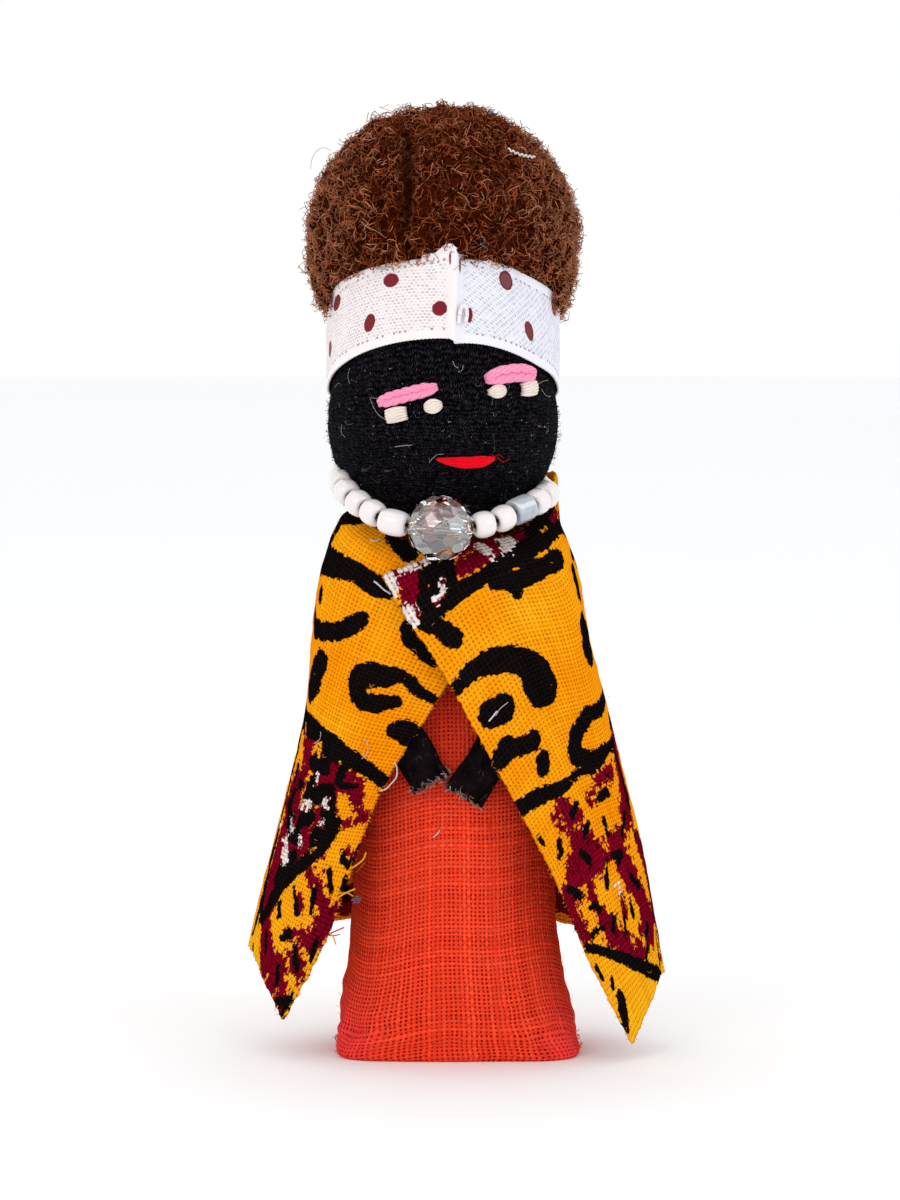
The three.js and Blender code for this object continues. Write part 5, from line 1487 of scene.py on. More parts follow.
LOOKS = {
    "doll_dress": DressLook, "doll_shawl": ShawlLook, "doll_head": HeadLook, "doll_threads": ThreadLook,
    "doll_hair": HairLook, "doll_ribbon": RibbonLook, "doll_necklace": NecklaceLook, "doll_arms": ArmLook,
    "doll_stage": StageLook,
}


# Pieces


def stuffed(rings, cap):
    """How a skin over rings of points moves, in millimetres, when it is filled and pressed from inside."""
    rows, columns = rings.shape[:2]
    points, quads, quad_map, tris, tri_map = loft(
        rings * STUFFING_SCALE, np.arange(columns + 1.0), np.arange(float(rows)))
    mesh = Shape().add(points, quads, quad_map, tris, tri_map).mesh("stuffing")
    holder = placed("stuffing", mesh)
    scene = bpy.context.scene
    start = read(mesh.vertices, "co")
    cloth = holder.modifiers.new("stuffing", "CLOTH")
    cloth.settings.quality = 5
    cloth.settings.use_pressure = True
    cloth.settings.uniform_pressure_force = STUFFING_PRESSURE
    cloth.settings.effector_weights.gravity = 0.0
    cloth.settings.bending_stiffness = STUFFING_STIFFNESS
    for frame_number in range(1, STUFFING_FRAMES + 1):
        scene.frame_set(frame_number)
    end = read(evaluated(holder).vertices, "co")
    moved = ((end - start) / MM / STUFFING_SCALE)[: rows * columns].reshape(rows, columns, 3)
    scene.frame_set(1)
    far = np.linalg.norm(moved, axis=-1, keepdims=True)
    return moved * np.minimum(1, cap / np.maximum(far, 1e-9))


def between(field, rows, columns):
    """A field on a coarse ring grid, read on a finer one; columns run round and meet themselves."""
    coarse_rows, coarse_columns = field.shape[:2]
    at = np.arange(columns) / columns * coarse_columns
    low = at.astype(int)
    share = (at - low)[None, :, None]
    field = field[:, low % coarse_columns] * (1 - share) + field[:, (low + 1) % coarse_columns] * share
    at = np.clip(rows, 0, coarse_rows - 1)
    low = np.minimum(at.astype(int), coarse_rows - 2)
    share = (at - low)[:, None, None]
    return field[low] * (1 - share) + field[low + 1] * share


class DOLL_OT_dress(bpy.types.Operator):
    """Make the stuffed bag of open-weave cloth that the doll stands on"""
    bl_idname = "doll.dress"
    bl_label = "Dress"

    def execute(self, context):
        look = context.scene.doll_dress
        turns = full_turn(DRESS_COLUMNS, math.pi / 2)
        heights = np.concatenate([np.linspace(0, 7.6, 16), np.linspace(8.3, 77.1, 104)])
        rows = hermite(BODY_ROWS[:, 0], heights) @ BODY_ROWS
        rings = np.array([body_ring(row, turns) for row in rows])
        coarse = np.linspace(0, len(heights) - 1, 38).astype(int)
        push = stuffed(rings[coarse][:, ::4], look.stuffing / MM)
        where = np.interp(np.arange(len(heights)), coarse, np.arange(len(coarse)))
        free = np.clip((rings[..., 2:] - 0.8) / 3.0, 0, 1)
        rings = rings + between(push, where, DRESS_COLUMNS) * free
        out = unit(rings * [1, 1, 0])
        low = np.clip((13 - rings[..., 2]) / 9, 0, 1)
        relief = ripples(rings * [1, 1, 0.35], 9.0, 3) * 0.16 + ripples(rings, 5.0, 4) * 0.07
        relief += ripples(rings @ [[1, 0, 0.5], [0, 1, 0], [-0.5, 0, 1]], 5.0, 5, 14) * 0.35 * low
        rings = rings + out * (relief[..., None] * free)
        bulge = 0.5 * bell(rings[..., 2] - 7.5, 3.6) * free[..., 0]
        rings[..., 0] -= bulge * np.clip(-rings[..., 0] / 16, 0, 1)
        # the hem lifts a little in front of the flat underside
        lift = 0.55 * bell(rings[..., 0] - 6.7, 3.8) + 0.25 * bell(rings[..., 0] + 9, 5)
        rings[..., 2] += lift * (rings[..., 1] < -6) * np.clip(1 - rings[..., 2] / 5, 0, 1)
        under = []
        for share in UNDERSIDE:
            flat = rings[0] * [share, share, 0] + [rows[0, 1] * (1 - share), 0, 0]
            under.append(flat + [0, 0, float(share > 0.95) * 0.02])
        rings = np.concatenate([under, rings])
        middle = rings.mean(1)
        reach = np.linalg.norm(rings[:, 0] - middle, axis=1)
        steps = np.hypot(np.diff(reach), np.diff(rings[:, 0, 2]))
        along = np.concatenate([[0], np.cumsum(steps)])
        threads = round(DRESS_GIRTH / (look.thread / MM))
        across = np.linspace(0, threads * look.thread / MM, DRESS_COLUMNS + 1)
        # the rows of thread run a little uphill and in waves
        tilt = 1.3 * np.sin(turns * 2 + 0.6) + 0.5 * np.sin(turns * 5 + 1.1)
        mesh = Shape().add(*loft(rings, across, along, bend=tilt)).mesh("body_dress")
        dress = new_piece("body_dress", mesh, dress_material(look), ["body"])
        fray = fibre_material("Dress fibres", look.cloth, look.cloth, look.slub)
        hem = part_of(mesh, "hem", lambda p, n: (p[:, 2] > 0.5) & (p[:, 2] < 1.9) & (np.abs(n[:, 2]) < 0.8))
        fibres("dress_frayed_hem", hem, fray)
        skin = part_of(mesh, "skin", lambda p, n: (p[:, 2] > 1.5) & (p[:, 2] < 72))
        fibres("dress_fuzz", skin, fray)
        return {"FINISHED"}


class DOLL_OT_head(bpy.types.Operator):
    """Make the knitted ball of the head, with lint on it"""
    bl_idname = "doll.head"
    bl_label = "Head"

    def execute(self, context):
        look = context.scene.doll_head
        turns = full_turn(HEAD_COLUMNS, math.pi / 2)
        angles = np.radians(np.arange(-86, 1, 6))
        ball = np.stack([HEAD_Z + HEAD_R * np.sin(angles), 0 * angles, HEAD_R * np.cos(angles)], 1)
        rows = np.vstack([ball, HEAD_TOP, [HEAD_CROWN - 0.08, 0.7, 2.2]])
        stations = np.concatenate([[0], np.cumsum(np.hypot(*np.diff(rows[:, [0, 2]], axis=0).T))])
        at = np.linspace(0, stations[-1], HEAD_ROWS)
        rows = hermite(stations, at) @ rows
        z, rise, r = rows.T[:, :, None]
        rings = np.stack([HEAD_X + r * np.cos(turns), r * np.sin(turns), z - rise * np.sin(turns)], -1)
        out = unit(rings - [HEAD_X, 0, HEAD_Z + 4])
        show = (rings[..., 2] < 97 - 6 * np.sin(turns))[..., None]
        relief = ripples(rings, 6.0, 8) * 0.05 + ripples(rings, 1.4, 9, 14) * 0.035
        rings = rings + out * (relief[..., None] - 0.03) * show
        # the knit gives way under the beads
        row = Necklace()
        for s in [*row.beads, row.long, row.grey]:
            far = np.linalg.norm(rings - row.at(s), axis=-1, keepdims=True)
            rings = rings - out * np.clip(DENT_R - far, 0, DENT_DEPTH)
        wales = round(2 * math.pi * HEAD_R / (look.wale / MM))
        across = np.linspace(0, wales * look.wale / MM, HEAD_COLUMNS + 1)
        mesh = Shape().add(*loft(rings, across, at)).mesh("head_knit")
        head = new_piece("head_knit", mesh, head_material(look), ["head"])
        face = part_of(mesh, "face", lambda p, n: (p[:, 2] < 99 - 6 * p[:, 1] / 17) & (p[:, 2] > 80))
        lint = fibre_material("Lint", (0.05, 0.05, 0.045), deep(look.lint, 0.5), look.lint, 0.7)
        fibres("head_lint", face, lint)
        specks = fibre_material("Lint specks", deep(look.lint, 0.3), look.lint, (0.85, 0.83, 0.78), 0.7)
        fibres("head_specks", face, specks)
        dark = fibre_material("Knit fuzz", deep(look.knit, 0.15), deep(look.knit, 0.45), look.dust_and_highlight, 0.8)
        fibres("head_fuzz", face, dark)
        return {"FINISHED"}


def strand_paths(kind, path, width, height, count):
    """Paths of the strands of one stitch, and their thickness along the way."""
    s = np.linspace(0, 1, len(path))
    tangent = unit(np.gradient(path, axis=0))
    out = unit(path * [1, 1, 0] - [HEAD_X, 0, 0])
    out = unit(out - tangent * (out * tangent).sum(-1, keepdims=True))
    side = np.cross(tangent, out)
    run = run_along(path)
    dive = np.clip(np.minimum(s, 1 - s) / 0.13, 0, 1)
    sink = (1 - np.sqrt(1 - (1 - dive) ** 2))[:, None] * -out * (height * 0.62)
    made = []
    if kind == "brow":
        for ply in range(2):
            radius = width / 4
            close = np.clip(np.minimum(s, 1 - s) / 0.2, 0, 1) ** 0.7
            centre = path + side * ((ply - 0.5) * 2 * radius * (0.2 + 0.68 * close))[:, None] + sink
            for strand in range(3):
                angle = run / (radius * 3.4) * math.pi * (1 if ply else -1) * 0.9 + strand * 2 * math.pi / 3
                swing = 0.44 * radius
                rise = 0.44 * min(height / 2, radius)
                made.append((centre + side * (np.cos(angle) * swing)[:, None]
                             + out * (np.sin(angle) * rise)[:, None], radius * 0.68 * (0.66 + 0.34 * close)))
        return made
    spread = {"lens": 0.35 + 0.65 * np.sin(math.pi * s) ** 0.8, "block": 0.86 + 0.14 * np.sin(math.pi * s),
              "mouth": np.minimum(0.1 + 1.5 * s**0.6, np.minimum(1, 0.3 + 3 * (1 - s)))}[kind]
    for k in range(count):
        off = (k - (count - 1) / 2) / count
        bow = height * 0.32 * (1 - (2 * off) ** 2)
        made.append((path + side * (off * width * spread)[:, None] + out * bow - out * height * 0.12 + sink,
                     width / count * 0.66 * np.clip(spread, 0.45, 1)))
    return made


class DOLL_OT_face(bpy.types.Operator):
    """Sew the brows, the eyes and the mouth on the head"""
    bl_idname = "doll.face"
    bl_label = "Face stitches"

    def execute(self, context):
        look = context.scene.doll_threads
        threads = {
            "pink_thread": thread_material("Pink thread", look.pink, look.pink_shade, 1.3, 4.0),
            "ivory_thread": thread_material("Ivory thread", look.ivory, look.ivory_shade, 0.35, 4.0),
            "red_thread": thread_material("Red thread", look.red, look.red_shade, 0.5, 4.0, 0.45),
        }
        draw = np.random.default_rng(41)
        for name, (width, height, count, slot, line) in STITCHES.items():
            steps = 56 if name.startswith(("brow", "mouth")) else 26
            flat = curve_through([[x, 0, z] for x, z in line], steps)
            flat[:, 1] = head_front(flat[:, 0], flat[:, 2]) - STITCH_GAP - height / 2
            kind = ("brow" if name.startswith("brow") else "mouth" if name == "mouth"
                    else "lens" if name.endswith("inner") else "block")
            shape = Shape()
            for path, radius in strand_paths(kind, flat, width, height, count):
                shape.add(*tube(path, radius, 7), tone=draw.uniform(0, 1))
            new_piece(name + "_thread", shape.mesh(name + "_thread"), threads[slot], [name])
        return {"FINISHED"}


class DOLL_OT_hair(bpy.types.Operator):
    """Make the puff of curly fleece"""
    bl_idname = "doll.hair"
    bl_label = "Hair"

    def execute(self, context):
        look = context.scene.doll_hair
        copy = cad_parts["hair"].data.copy()
        whole = bmesh.new()
        whole.from_mesh(copy)
        bmesh.ops.remove_doubles(whole, verts=whole.verts, dist=1e-6)
        whole.to_mesh(copy)
        whole.free()
        holder = placed("puff", copy)
        remesh = holder.modifiers.new("remesh", "REMESH")
        remesh.mode, remesh.voxel_size = "VOXEL", HAIR_VOXEL * MM
        smooth = holder.modifiers.new("smooth", "SMOOTH")
        smooth.factor, smooth.iterations = 0.5, 6
        mesh = evaluated(holder)
        mesh.name = "hair_fleece"
        points, normals = read(mesh.vertices, "co") / MM, read(mesh.vertices, "normal")
        local = points - SHIFT
        outer = np.clip((np.linalg.norm(local - HAIR_CENTRE, axis=1) - HAIR_SHAPED_R) / 1.2, 0, 1)
        outer *= (unit(local - HAIR_CENTRE) * normals).sum(1) > 0.3
        front = np.clip(-0.7 * normals[:, 1] + 0.7 * normals[:, 2], 0, 1)
        front *= np.clip((0.98 - normals[:, 2]) / 0.12, 0, 1)
        parting = PARTING_DEPTH * front * bell(local[:, 0] - PARTING_X, PARTING_WIDTH)
        relief = 0.4 * ripples(local, 3.4, 51, 12) + 0.22 * ripples(local, 1.7, 52, 14) - 0.75 - parting
        points += normals * (relief * outer)[:, None]
        # the rim comes down onto the ribbon
        rim = band_height(np.arctan2(local[:, 1], local[:, 0] - HEAD_X)) + BAND_WIDTH / 2
        ahead = 0.3 + 0.7 * np.clip(np.abs(local[:, 1]) / 9, 0, 1)
        points[:, 2] -= 2.2 * ahead * np.clip(1 - (local[:, 2] - rim) / 9, 0, 1)
        mesh.vertices.foreach_set("co", (points * MM).ravel())
        shade(mesh)
        mesh.update()
        new_piece("hair_fleece", mesh, hair_base_material(look), ["hair"])

        def shell(p, n):
            d = unit(p - HAIR_CENTRE)
            return (np.linalg.norm(p - HAIR_CENTRE, axis=1) > HAIR_CURLS_R) & ((d * n).sum(1) > 0.1)

        skin = part_of(mesh, "shell", shell)
        # the last number gives the fleece painted shade in the parting and painted light at the sides of the
        # puff
        curls = fibre_material("Fleece", look.dark, look.middle, look.light, 0.5, 0.8)
        for number in (1, 2, 3):
            fibres(f"hair_curls_{number}", skin, curls, look.curl, look.fibre, CURL_LIFT)
        pale = fibre_material("Fly-away fleece", look.middle, deep(look.light, 0.9), (0.62, 0.42, 0.28), 0.45)
        fibres("hair_flyaway", skin, pale)
        # one crimped white thread caught in the hair
        t = np.linspace(0, 1, 60)
        line = curve_through(LINT_THREAD, 60)
        line[:, 2] += 0.16 * np.sin(t * 2 * math.pi * 6.5)
        white = thread_material("White thread", (0.9, 0.88, 0.86), (0.6, 0.56, 0.52))
        new_piece("hair_white_thread", Shape().add(*tube(line, 0.13, 6)).mesh("hair_white_thread"), white)
        return {"FINISHED"}


def dot_field(across, along):
    """Distance outside the nearest ribbon dot, and how worn that dot is."""
    dots = list(BAND_DOTS)
    draw = np.random.default_rng(81)
    for start, stop, step in ((-32.4, -56.4, -12.0), (34.6, 56.4, 12.2)):
        dots += [(s, 3.4, 1.3, 1.1, draw.uniform(-20, 20), 0.1) for s in np.arange(start, stop, step)]
        other = start + 8 * np.sign(step) * 0.5
        dots += [(s, -2.1, 1.2, 1.15, draw.uniform(-20, 20), 0.1) for s in np.arange(other, stop, step)]
    field, grey = np.full(across.shape, 9.0), np.zeros(across.shape)
    for s, h, a, b, turn, worn in dots:
        c, d = math.cos(math.radians(turn)), math.sin(math.radians(turn))
        x, y = across - s, along - h
        far = (np.hypot((x * c + y * d) / a, (y * c - x * d) / b) - 1) * min(a, b)
        nearer = far < field
        field, grey = np.where(nearer, far, field), np.where(nearer, worn, grey)
    return field, grey


class DOLL_OT_ribbon(bpy.types.Operator):
    """Wrap the dotted ribbon round the head and pinch its ends in front"""
    bl_idname = "doll.ribbon"
    bl_label = "Headband"

    def execute(self, context):
        look = context.scene.doll_ribbon
        seam = SEAM_ANGLE - math.pi / 2
        fine = np.linspace(seam - math.pi, seam + math.pi, 4001)
        radius = band_inner(fine) + BAND_THICKNESS / 2
        ring = np.stack([radius * np.cos(fine), radius * np.sin(fine), band_height(fine)], 1)
        run = run_along(ring)
        run -= np.interp(seam, fine, run)
        across = np.linspace(run[0], run[-1], BAND_COLUMNS + 1)
        t = np.interp(across[:-1], run, fine)
        base = np.interp(across[:-1], run, radius)
        half = BAND_WIDTH / 2
        inner = np.linspace(0.4 - half, half - 0.4, BAND_ROWS)
        along = np.concatenate([[-half, 0.17 - half], inner, [half - 0.17, half]])
        s, h = np.meshgrid(across[:-1], along)
        # the left end rolls over the right one in a soft ridge that leans a little down its height
        middle = 0.22 * np.sin(h * 0.45) + 1.25
        side = s - middle
        ridge = bell(side, np.where(side < 0, 0.8, 0.5))
        ridge = ridge * (0.95 + 0.2 * np.sin(h * 0.8 + 1))
        tuck = -0.2 * bell(side - 1.15, 0.45)
        pull = 0.10 * np.exp(-np.abs(side) / 6) * np.sin(h * 1.1 + side * 0.9)
        wave = 0.06 * ripples(np.stack([s, h], -1), 7.0, 83)
        out = base + ridge * 1.1 + tuck + pull + wave
        edge = np.clip(np.abs(h) - half + 0.5, 0, 0.5) / 0.5
        scallop = SCALLOP_DEPTH * np.abs(np.sin(s * math.pi / SCALLOP_STEP)) * edge * np.sign(h)
        high = np.clip(h / half, 0, 1) ** 3
        peak = bell(side + 0.8, 1.5) * high * 1.55
        dip = -bell(side - 1.6, 1.2) * high * 0.3
        # the right end sits a little lower than the left one
        sag = -0.75 * np.clip((side + 0.3) / 0.6, 0, 1) * np.exp(-np.abs(side) / 5)
        sag *= np.clip(0.4 - h / half, 0, 1)
        points = np.stack([
            HEAD_X + out * np.cos(t), out * np.sin(t), band_height(t) + h + scallop + peak + dip + sag], -1)
        sheet, quads, maps = slab(points, look.thickness / MM, across, along, wrap=True)
        dot, grey = dot_field(s, h)
        fields = {"dot": np.tile(dot.ravel(), 2), "grey": np.tile(grey.ravel(), 2)}
        mesh = Shape().add(sheet, quads, maps).mesh("headband_ribbon", fields)
        material = ribbon_material(look)
        ribbon = new_piece("headband_ribbon", mesh, material, ["headband"])
        # the corner of the under end, folded back beside the ridge
        bend = curve_through([[1.95, 0.1, -4.0], [2.0, 0.4, -2.9], [2.25, 0.55, -1.6], [2.85, 0.55, -1.3],
                              [3.1, 0.4, -2.3], [2.95, 0.2, -3.5]], 30)
        at = np.interp(bend[:, 0], run, fine)
        far = np.interp(bend[:, 0], run, radius) + bend[:, 1] + 0.25
        line = np.stack([HEAD_X + far * np.cos(at), far * np.sin(at), band_height(at) + bend[:, 2]], 1)
        fold_points, fold_quads, fold_map, fold_tris, fold_tri_map = tube(line, 0.3, 8)
        fold = Shape().add(fold_points, fold_quads, fold_map * [0.4, 1.0], fold_tris, fold_tri_map)
        count = fold.count
        corner = new_piece("headband_corner", fold.mesh("headband_corner", {
            "dot": np.full(count, 9.0), "grey": np.zeros(count)}), material)
        return {"FINISHED"}


def stroke_distance(across, along, points):
    """Distance outside a stroke of changing thickness."""
    far = np.full(across.shape, 1e3)
    for (ax, ay, ar), (bx, by, br) in zip(points, points[1:] if len(points) > 1 else points):
        dx, dy = bx - ax, by - ay
        size = dx * dx + dy * dy
        t = np.clip(((across - ax) * dx + (along - ay) * dy) / size, 0, 1) if size > 1e-9 else 0.0
        far = np.minimum(far, np.hypot(across - ax - t * dx, along - ay - t * dy) - (ar + (br - ar) * t))
    return far


def back_strokes():
    """The same kind of print round the back: spots above a black band, a mixed border below it."""
    draw = np.random.default_rng(91)
    strokes = []
    for x in np.arange(31, 92, 8.2):
        for y in np.arange(4, 35, 9.0):
            cx, cy = x + draw.uniform(-2, 2) + (y % 2) * 2, y + draw.uniform(-1.8, 1.8)
            if not 29 < cx < 91:
                continue
            bend, turn, size = draw.uniform(1.2, 4.4), draw.uniform(0, 6.28), draw.uniform(2.4, 3.9)
            angles = turn + np.linspace(0, bend, 6)
            thick = draw.uniform(0.9, 1.5) * (0.75 + 0.3 * np.sin(np.linspace(0.3, 2.9, 6)))
            strokes.append(("ink", [(cx + size * math.cos(a), cy + 0.75 * size * math.sin(a), float(r))
                                    for a, r in zip(angles, thick)]))
            if bend > 2.6:
                strokes.append(("ink", [(cx, cy, 0.9), (cx + 0.8, cy + 0.5, 0.8)]))
    strokes.append(("ink", [(22, 33.4, 0.9), (35, 37, 1.1), (52, 38.6, 1.0), (70, 37.4, 1.1), (84, 35.2, 1.0),
                            (96, 34.4, 0.9)]))
    strokes.append(("wine", [(26, 38.5, 1.4), (40, 43, 3.6), (60, 45, 4.2), (80, 43, 3.6), (90, 40, 1.6)]))
    strokes.append(("wine", [(40, 67, 2.4), (52, 69, 3.0), (68, 68, 3.0), (78, 66, 2.2)]))
    for x in np.arange(27, 92, 4.6):
        for row in range(6):
            cx, cy = x + draw.uniform(-1.2, 1.2) + 2.3 * (row % 2), 41 + row * 5 + draw.uniform(-1, 1)
            lean = draw.uniform(-0.8, 0.8)
            size = draw.uniform(0.35, 0.6)
            name = "ink2" if draw.uniform() < 0.78 else "gold2" if row in (0, 1, 5) else "over"
            strokes.append((name, [(cx, cy, size), (cx + lean, cy + draw.uniform(1.2, 2.2), size * 0.9)]))
            if row < 2 and draw.uniform() < 0.4:
                strokes.append(("white", [(cx + 1.9, cy, 0.4), (cx + 1.6, cy + 1.3, 0.34)]))
    strokes.append(("ink", [(24, 55, 0.5), (44, 58.5, 0.55), (66, 59, 0.5), (90, 55.5, 0.5)]))
    return strokes


def print_fields(across, along):
    """How far each point of the cloth is outside the printed black, wine red and white."""
    far = {name: np.full(across.shape, 9.0) for name in ("ink", "wine", "white")}
    behind = back_strokes()
    for layer, front in PRINT_STROKES.items():
        strokes = [points for name, points in behind if name == layer]
        strokes += [np.reshape(numbers, (-1, 3)) for numbers in front]
        for points in strokes:
            d = stroke_distance(across, along, points)
            if layer.startswith("gold"):
                far = {paint: np.maximum(value, -d) for paint, value in far.items()}
            elif layer == "over":
                far["wine"] = np.minimum(far["wine"], d - 0.6)
                far["ink"] = np.maximum(far["ink"], -(d + 0.3))
            else:
                paint = layer.rstrip("2")
                far[paint] = np.minimum(far[paint], d)
    return {name: np.clip(value, -2, 2) for name, value in far.items()}


class DOLL_OT_shawl(bpy.types.Operator):
    """Drape the printed cloth over the shoulders, right side over left"""
    bl_idname = "doll.shawl"
    bl_label = "Shawl"

    def execute(self, context):
        look = context.scene.doll_shawl
        points = shawl_surface(np.linspace(0, 1, SHAWL_COLUMNS), np.linspace(0, 1, SHAWL_ROWS))
        across = np.concatenate([[0], np.cumsum(np.linalg.norm(np.diff(points, axis=1), axis=-1).mean(0))])
        along = np.concatenate([[0], np.cumsum(np.linalg.norm(np.diff(points, axis=0), axis=-1).mean(1))])
        s, h = np.meshgrid(across, along)
        normals = grid_normals(points)
        flat = np.stack([s, h], -1)
        crease = 0.10 * ripples(flat * [1, 0.45], 9.0, 93) + 0.05 * ripples(flat, 3.2, 94, 14)
        points = points + normals * crease[..., None]
        # cut edges that are not quite straight
        for rim, inner in ((np.s_[0, :], np.s_[1, :]), (np.s_[-1, :], np.s_[-2, :]),
                           (np.s_[:, 0], np.s_[:, 1]), (np.s_[:, -1], np.s_[:, -2])):
            outward = unit(points[rim] - points[inner])
            points[rim] += outward * (0.12 * ripples(flat[rim], 1.1, 95, 16))[:, None]
        # the top edge stands up a little behind the beads on the right
        away = np.linalg.norm(points[0, :, :2] - [11.8, 5.5], axis=1)
        stand = bell(away, 5.0) * bell(h, 3.0)
        points = points + stand[..., None] * [3.0, 0.6, 5.3]
        sheet, quads, maps = slab(points, look.thickness / MM, across, along)
        fields = {name: np.tile(np.maximum(value, 4 * stand - 1.2).ravel(), 2)
                  for name, value in print_fields(s, h).items()}
        mesh = Shape().add(sheet, quads, maps).mesh("shawl_cloth", fields)
        shawl = new_piece("shawl_cloth", mesh, shawl_material(look), ["shawl"])
        rim_count = 2 * (SHAWL_COLUMNS + SHAWL_ROWS) - 4
        edge = Shape().add(sheet, quads[-rim_count:], maps[-rim_count:]).mesh("rim")
        gold = fibre_material("Cotton ends", deep(look.gold, 0.8), look.gold, (0.5, 0.07, 0.02), 0.7)
        fray = fibres("shawl_frayed_edge", edge, gold)
        front = part_of(mesh, "front", lambda p, n: n[:, 1] < 0.2)
        pale = fibre_material("Cotton fuzz", look.gold, look.pale_gold_and_highlight, look.white, 0.7)
        fuzz = fibres("shawl_fuzz", front, pale)
        return {"FINISHED"}


def turned(profile, sides):
    """A closed profile of (radius, height) turned round the z axis."""
    angle = full_turn(sides)
    profile = np.asarray(profile, float)
    rings = np.stack([profile[:, :1] * np.cos(angle), profile[:, :1] * np.sin(angle),
                      np.repeat(profile[:, 1:], sides, 1)], -1)
    closed = np.concatenate([rings, rings[:1]])
    around, run = np.linspace(0, 1, sides + 1), run_along(closed[:, 0])
    points, quads, quad_map, _, _ = loft(closed, around, run, poles=False)
    size = len(profile) * sides
    return points[:size], np.where(quads >= size, quads - size, quads), quad_map


def bead_profile(radius, long, blunt):
    """Rounded outside, funnel-shaped ends and the bore."""
    turn = np.linspace(-math.pi / 2, math.pi / 2, 19)
    r = BORE_R + 0.22 + (radius - BORE_R - 0.22) * np.cos(turn) ** blunt
    z = long / 2 * np.sign(np.sin(turn)) * np.abs(np.sin(turn)) ** (1.05 if blunt > 0.5 else 0.7)
    outside = np.stack([r, z], 1)
    bore = [[BORE_R, long / 2 - 0.24], [BORE_R, 0.0], [BORE_R, -long / 2 + 0.24]]
    return np.vstack([outside, bore])


def carried(points, centre, aim):
    """Points round the z axis, moved to a centre with z along aim."""
    side = unit(np.cross([0.0, 0.0, 1.0], aim))
    return centre + points @ np.stack([side, np.cross(aim, side), aim])


def cut_ball(radius, facets):
    """Triangles of a ball cut with flat facets, spread evenly."""
    k = np.arange(facets) + 0.5
    tilt = np.arccos(1 - 2 * k / facets)
    turn = math.pi * (1 + 5**0.5) * k
    facing = np.stack([np.cos(turn) * np.sin(tilt), np.sin(turn) * np.sin(tilt), np.cos(tilt)], 1)
    hull = bmesh.new()
    for p in facing:
        hull.verts.new(p)
    bmesh.ops.convex_hull(hull, input=hull.verts)
    hull.verts.index_update()
    corners = []
    for face in hull.faces:
        planes = np.array([list(v.co) for v in face.verts])
        corners.append(np.linalg.solve(planes, np.full(3, radius * 0.975)))
    hull.free()
    return np.array(corners)


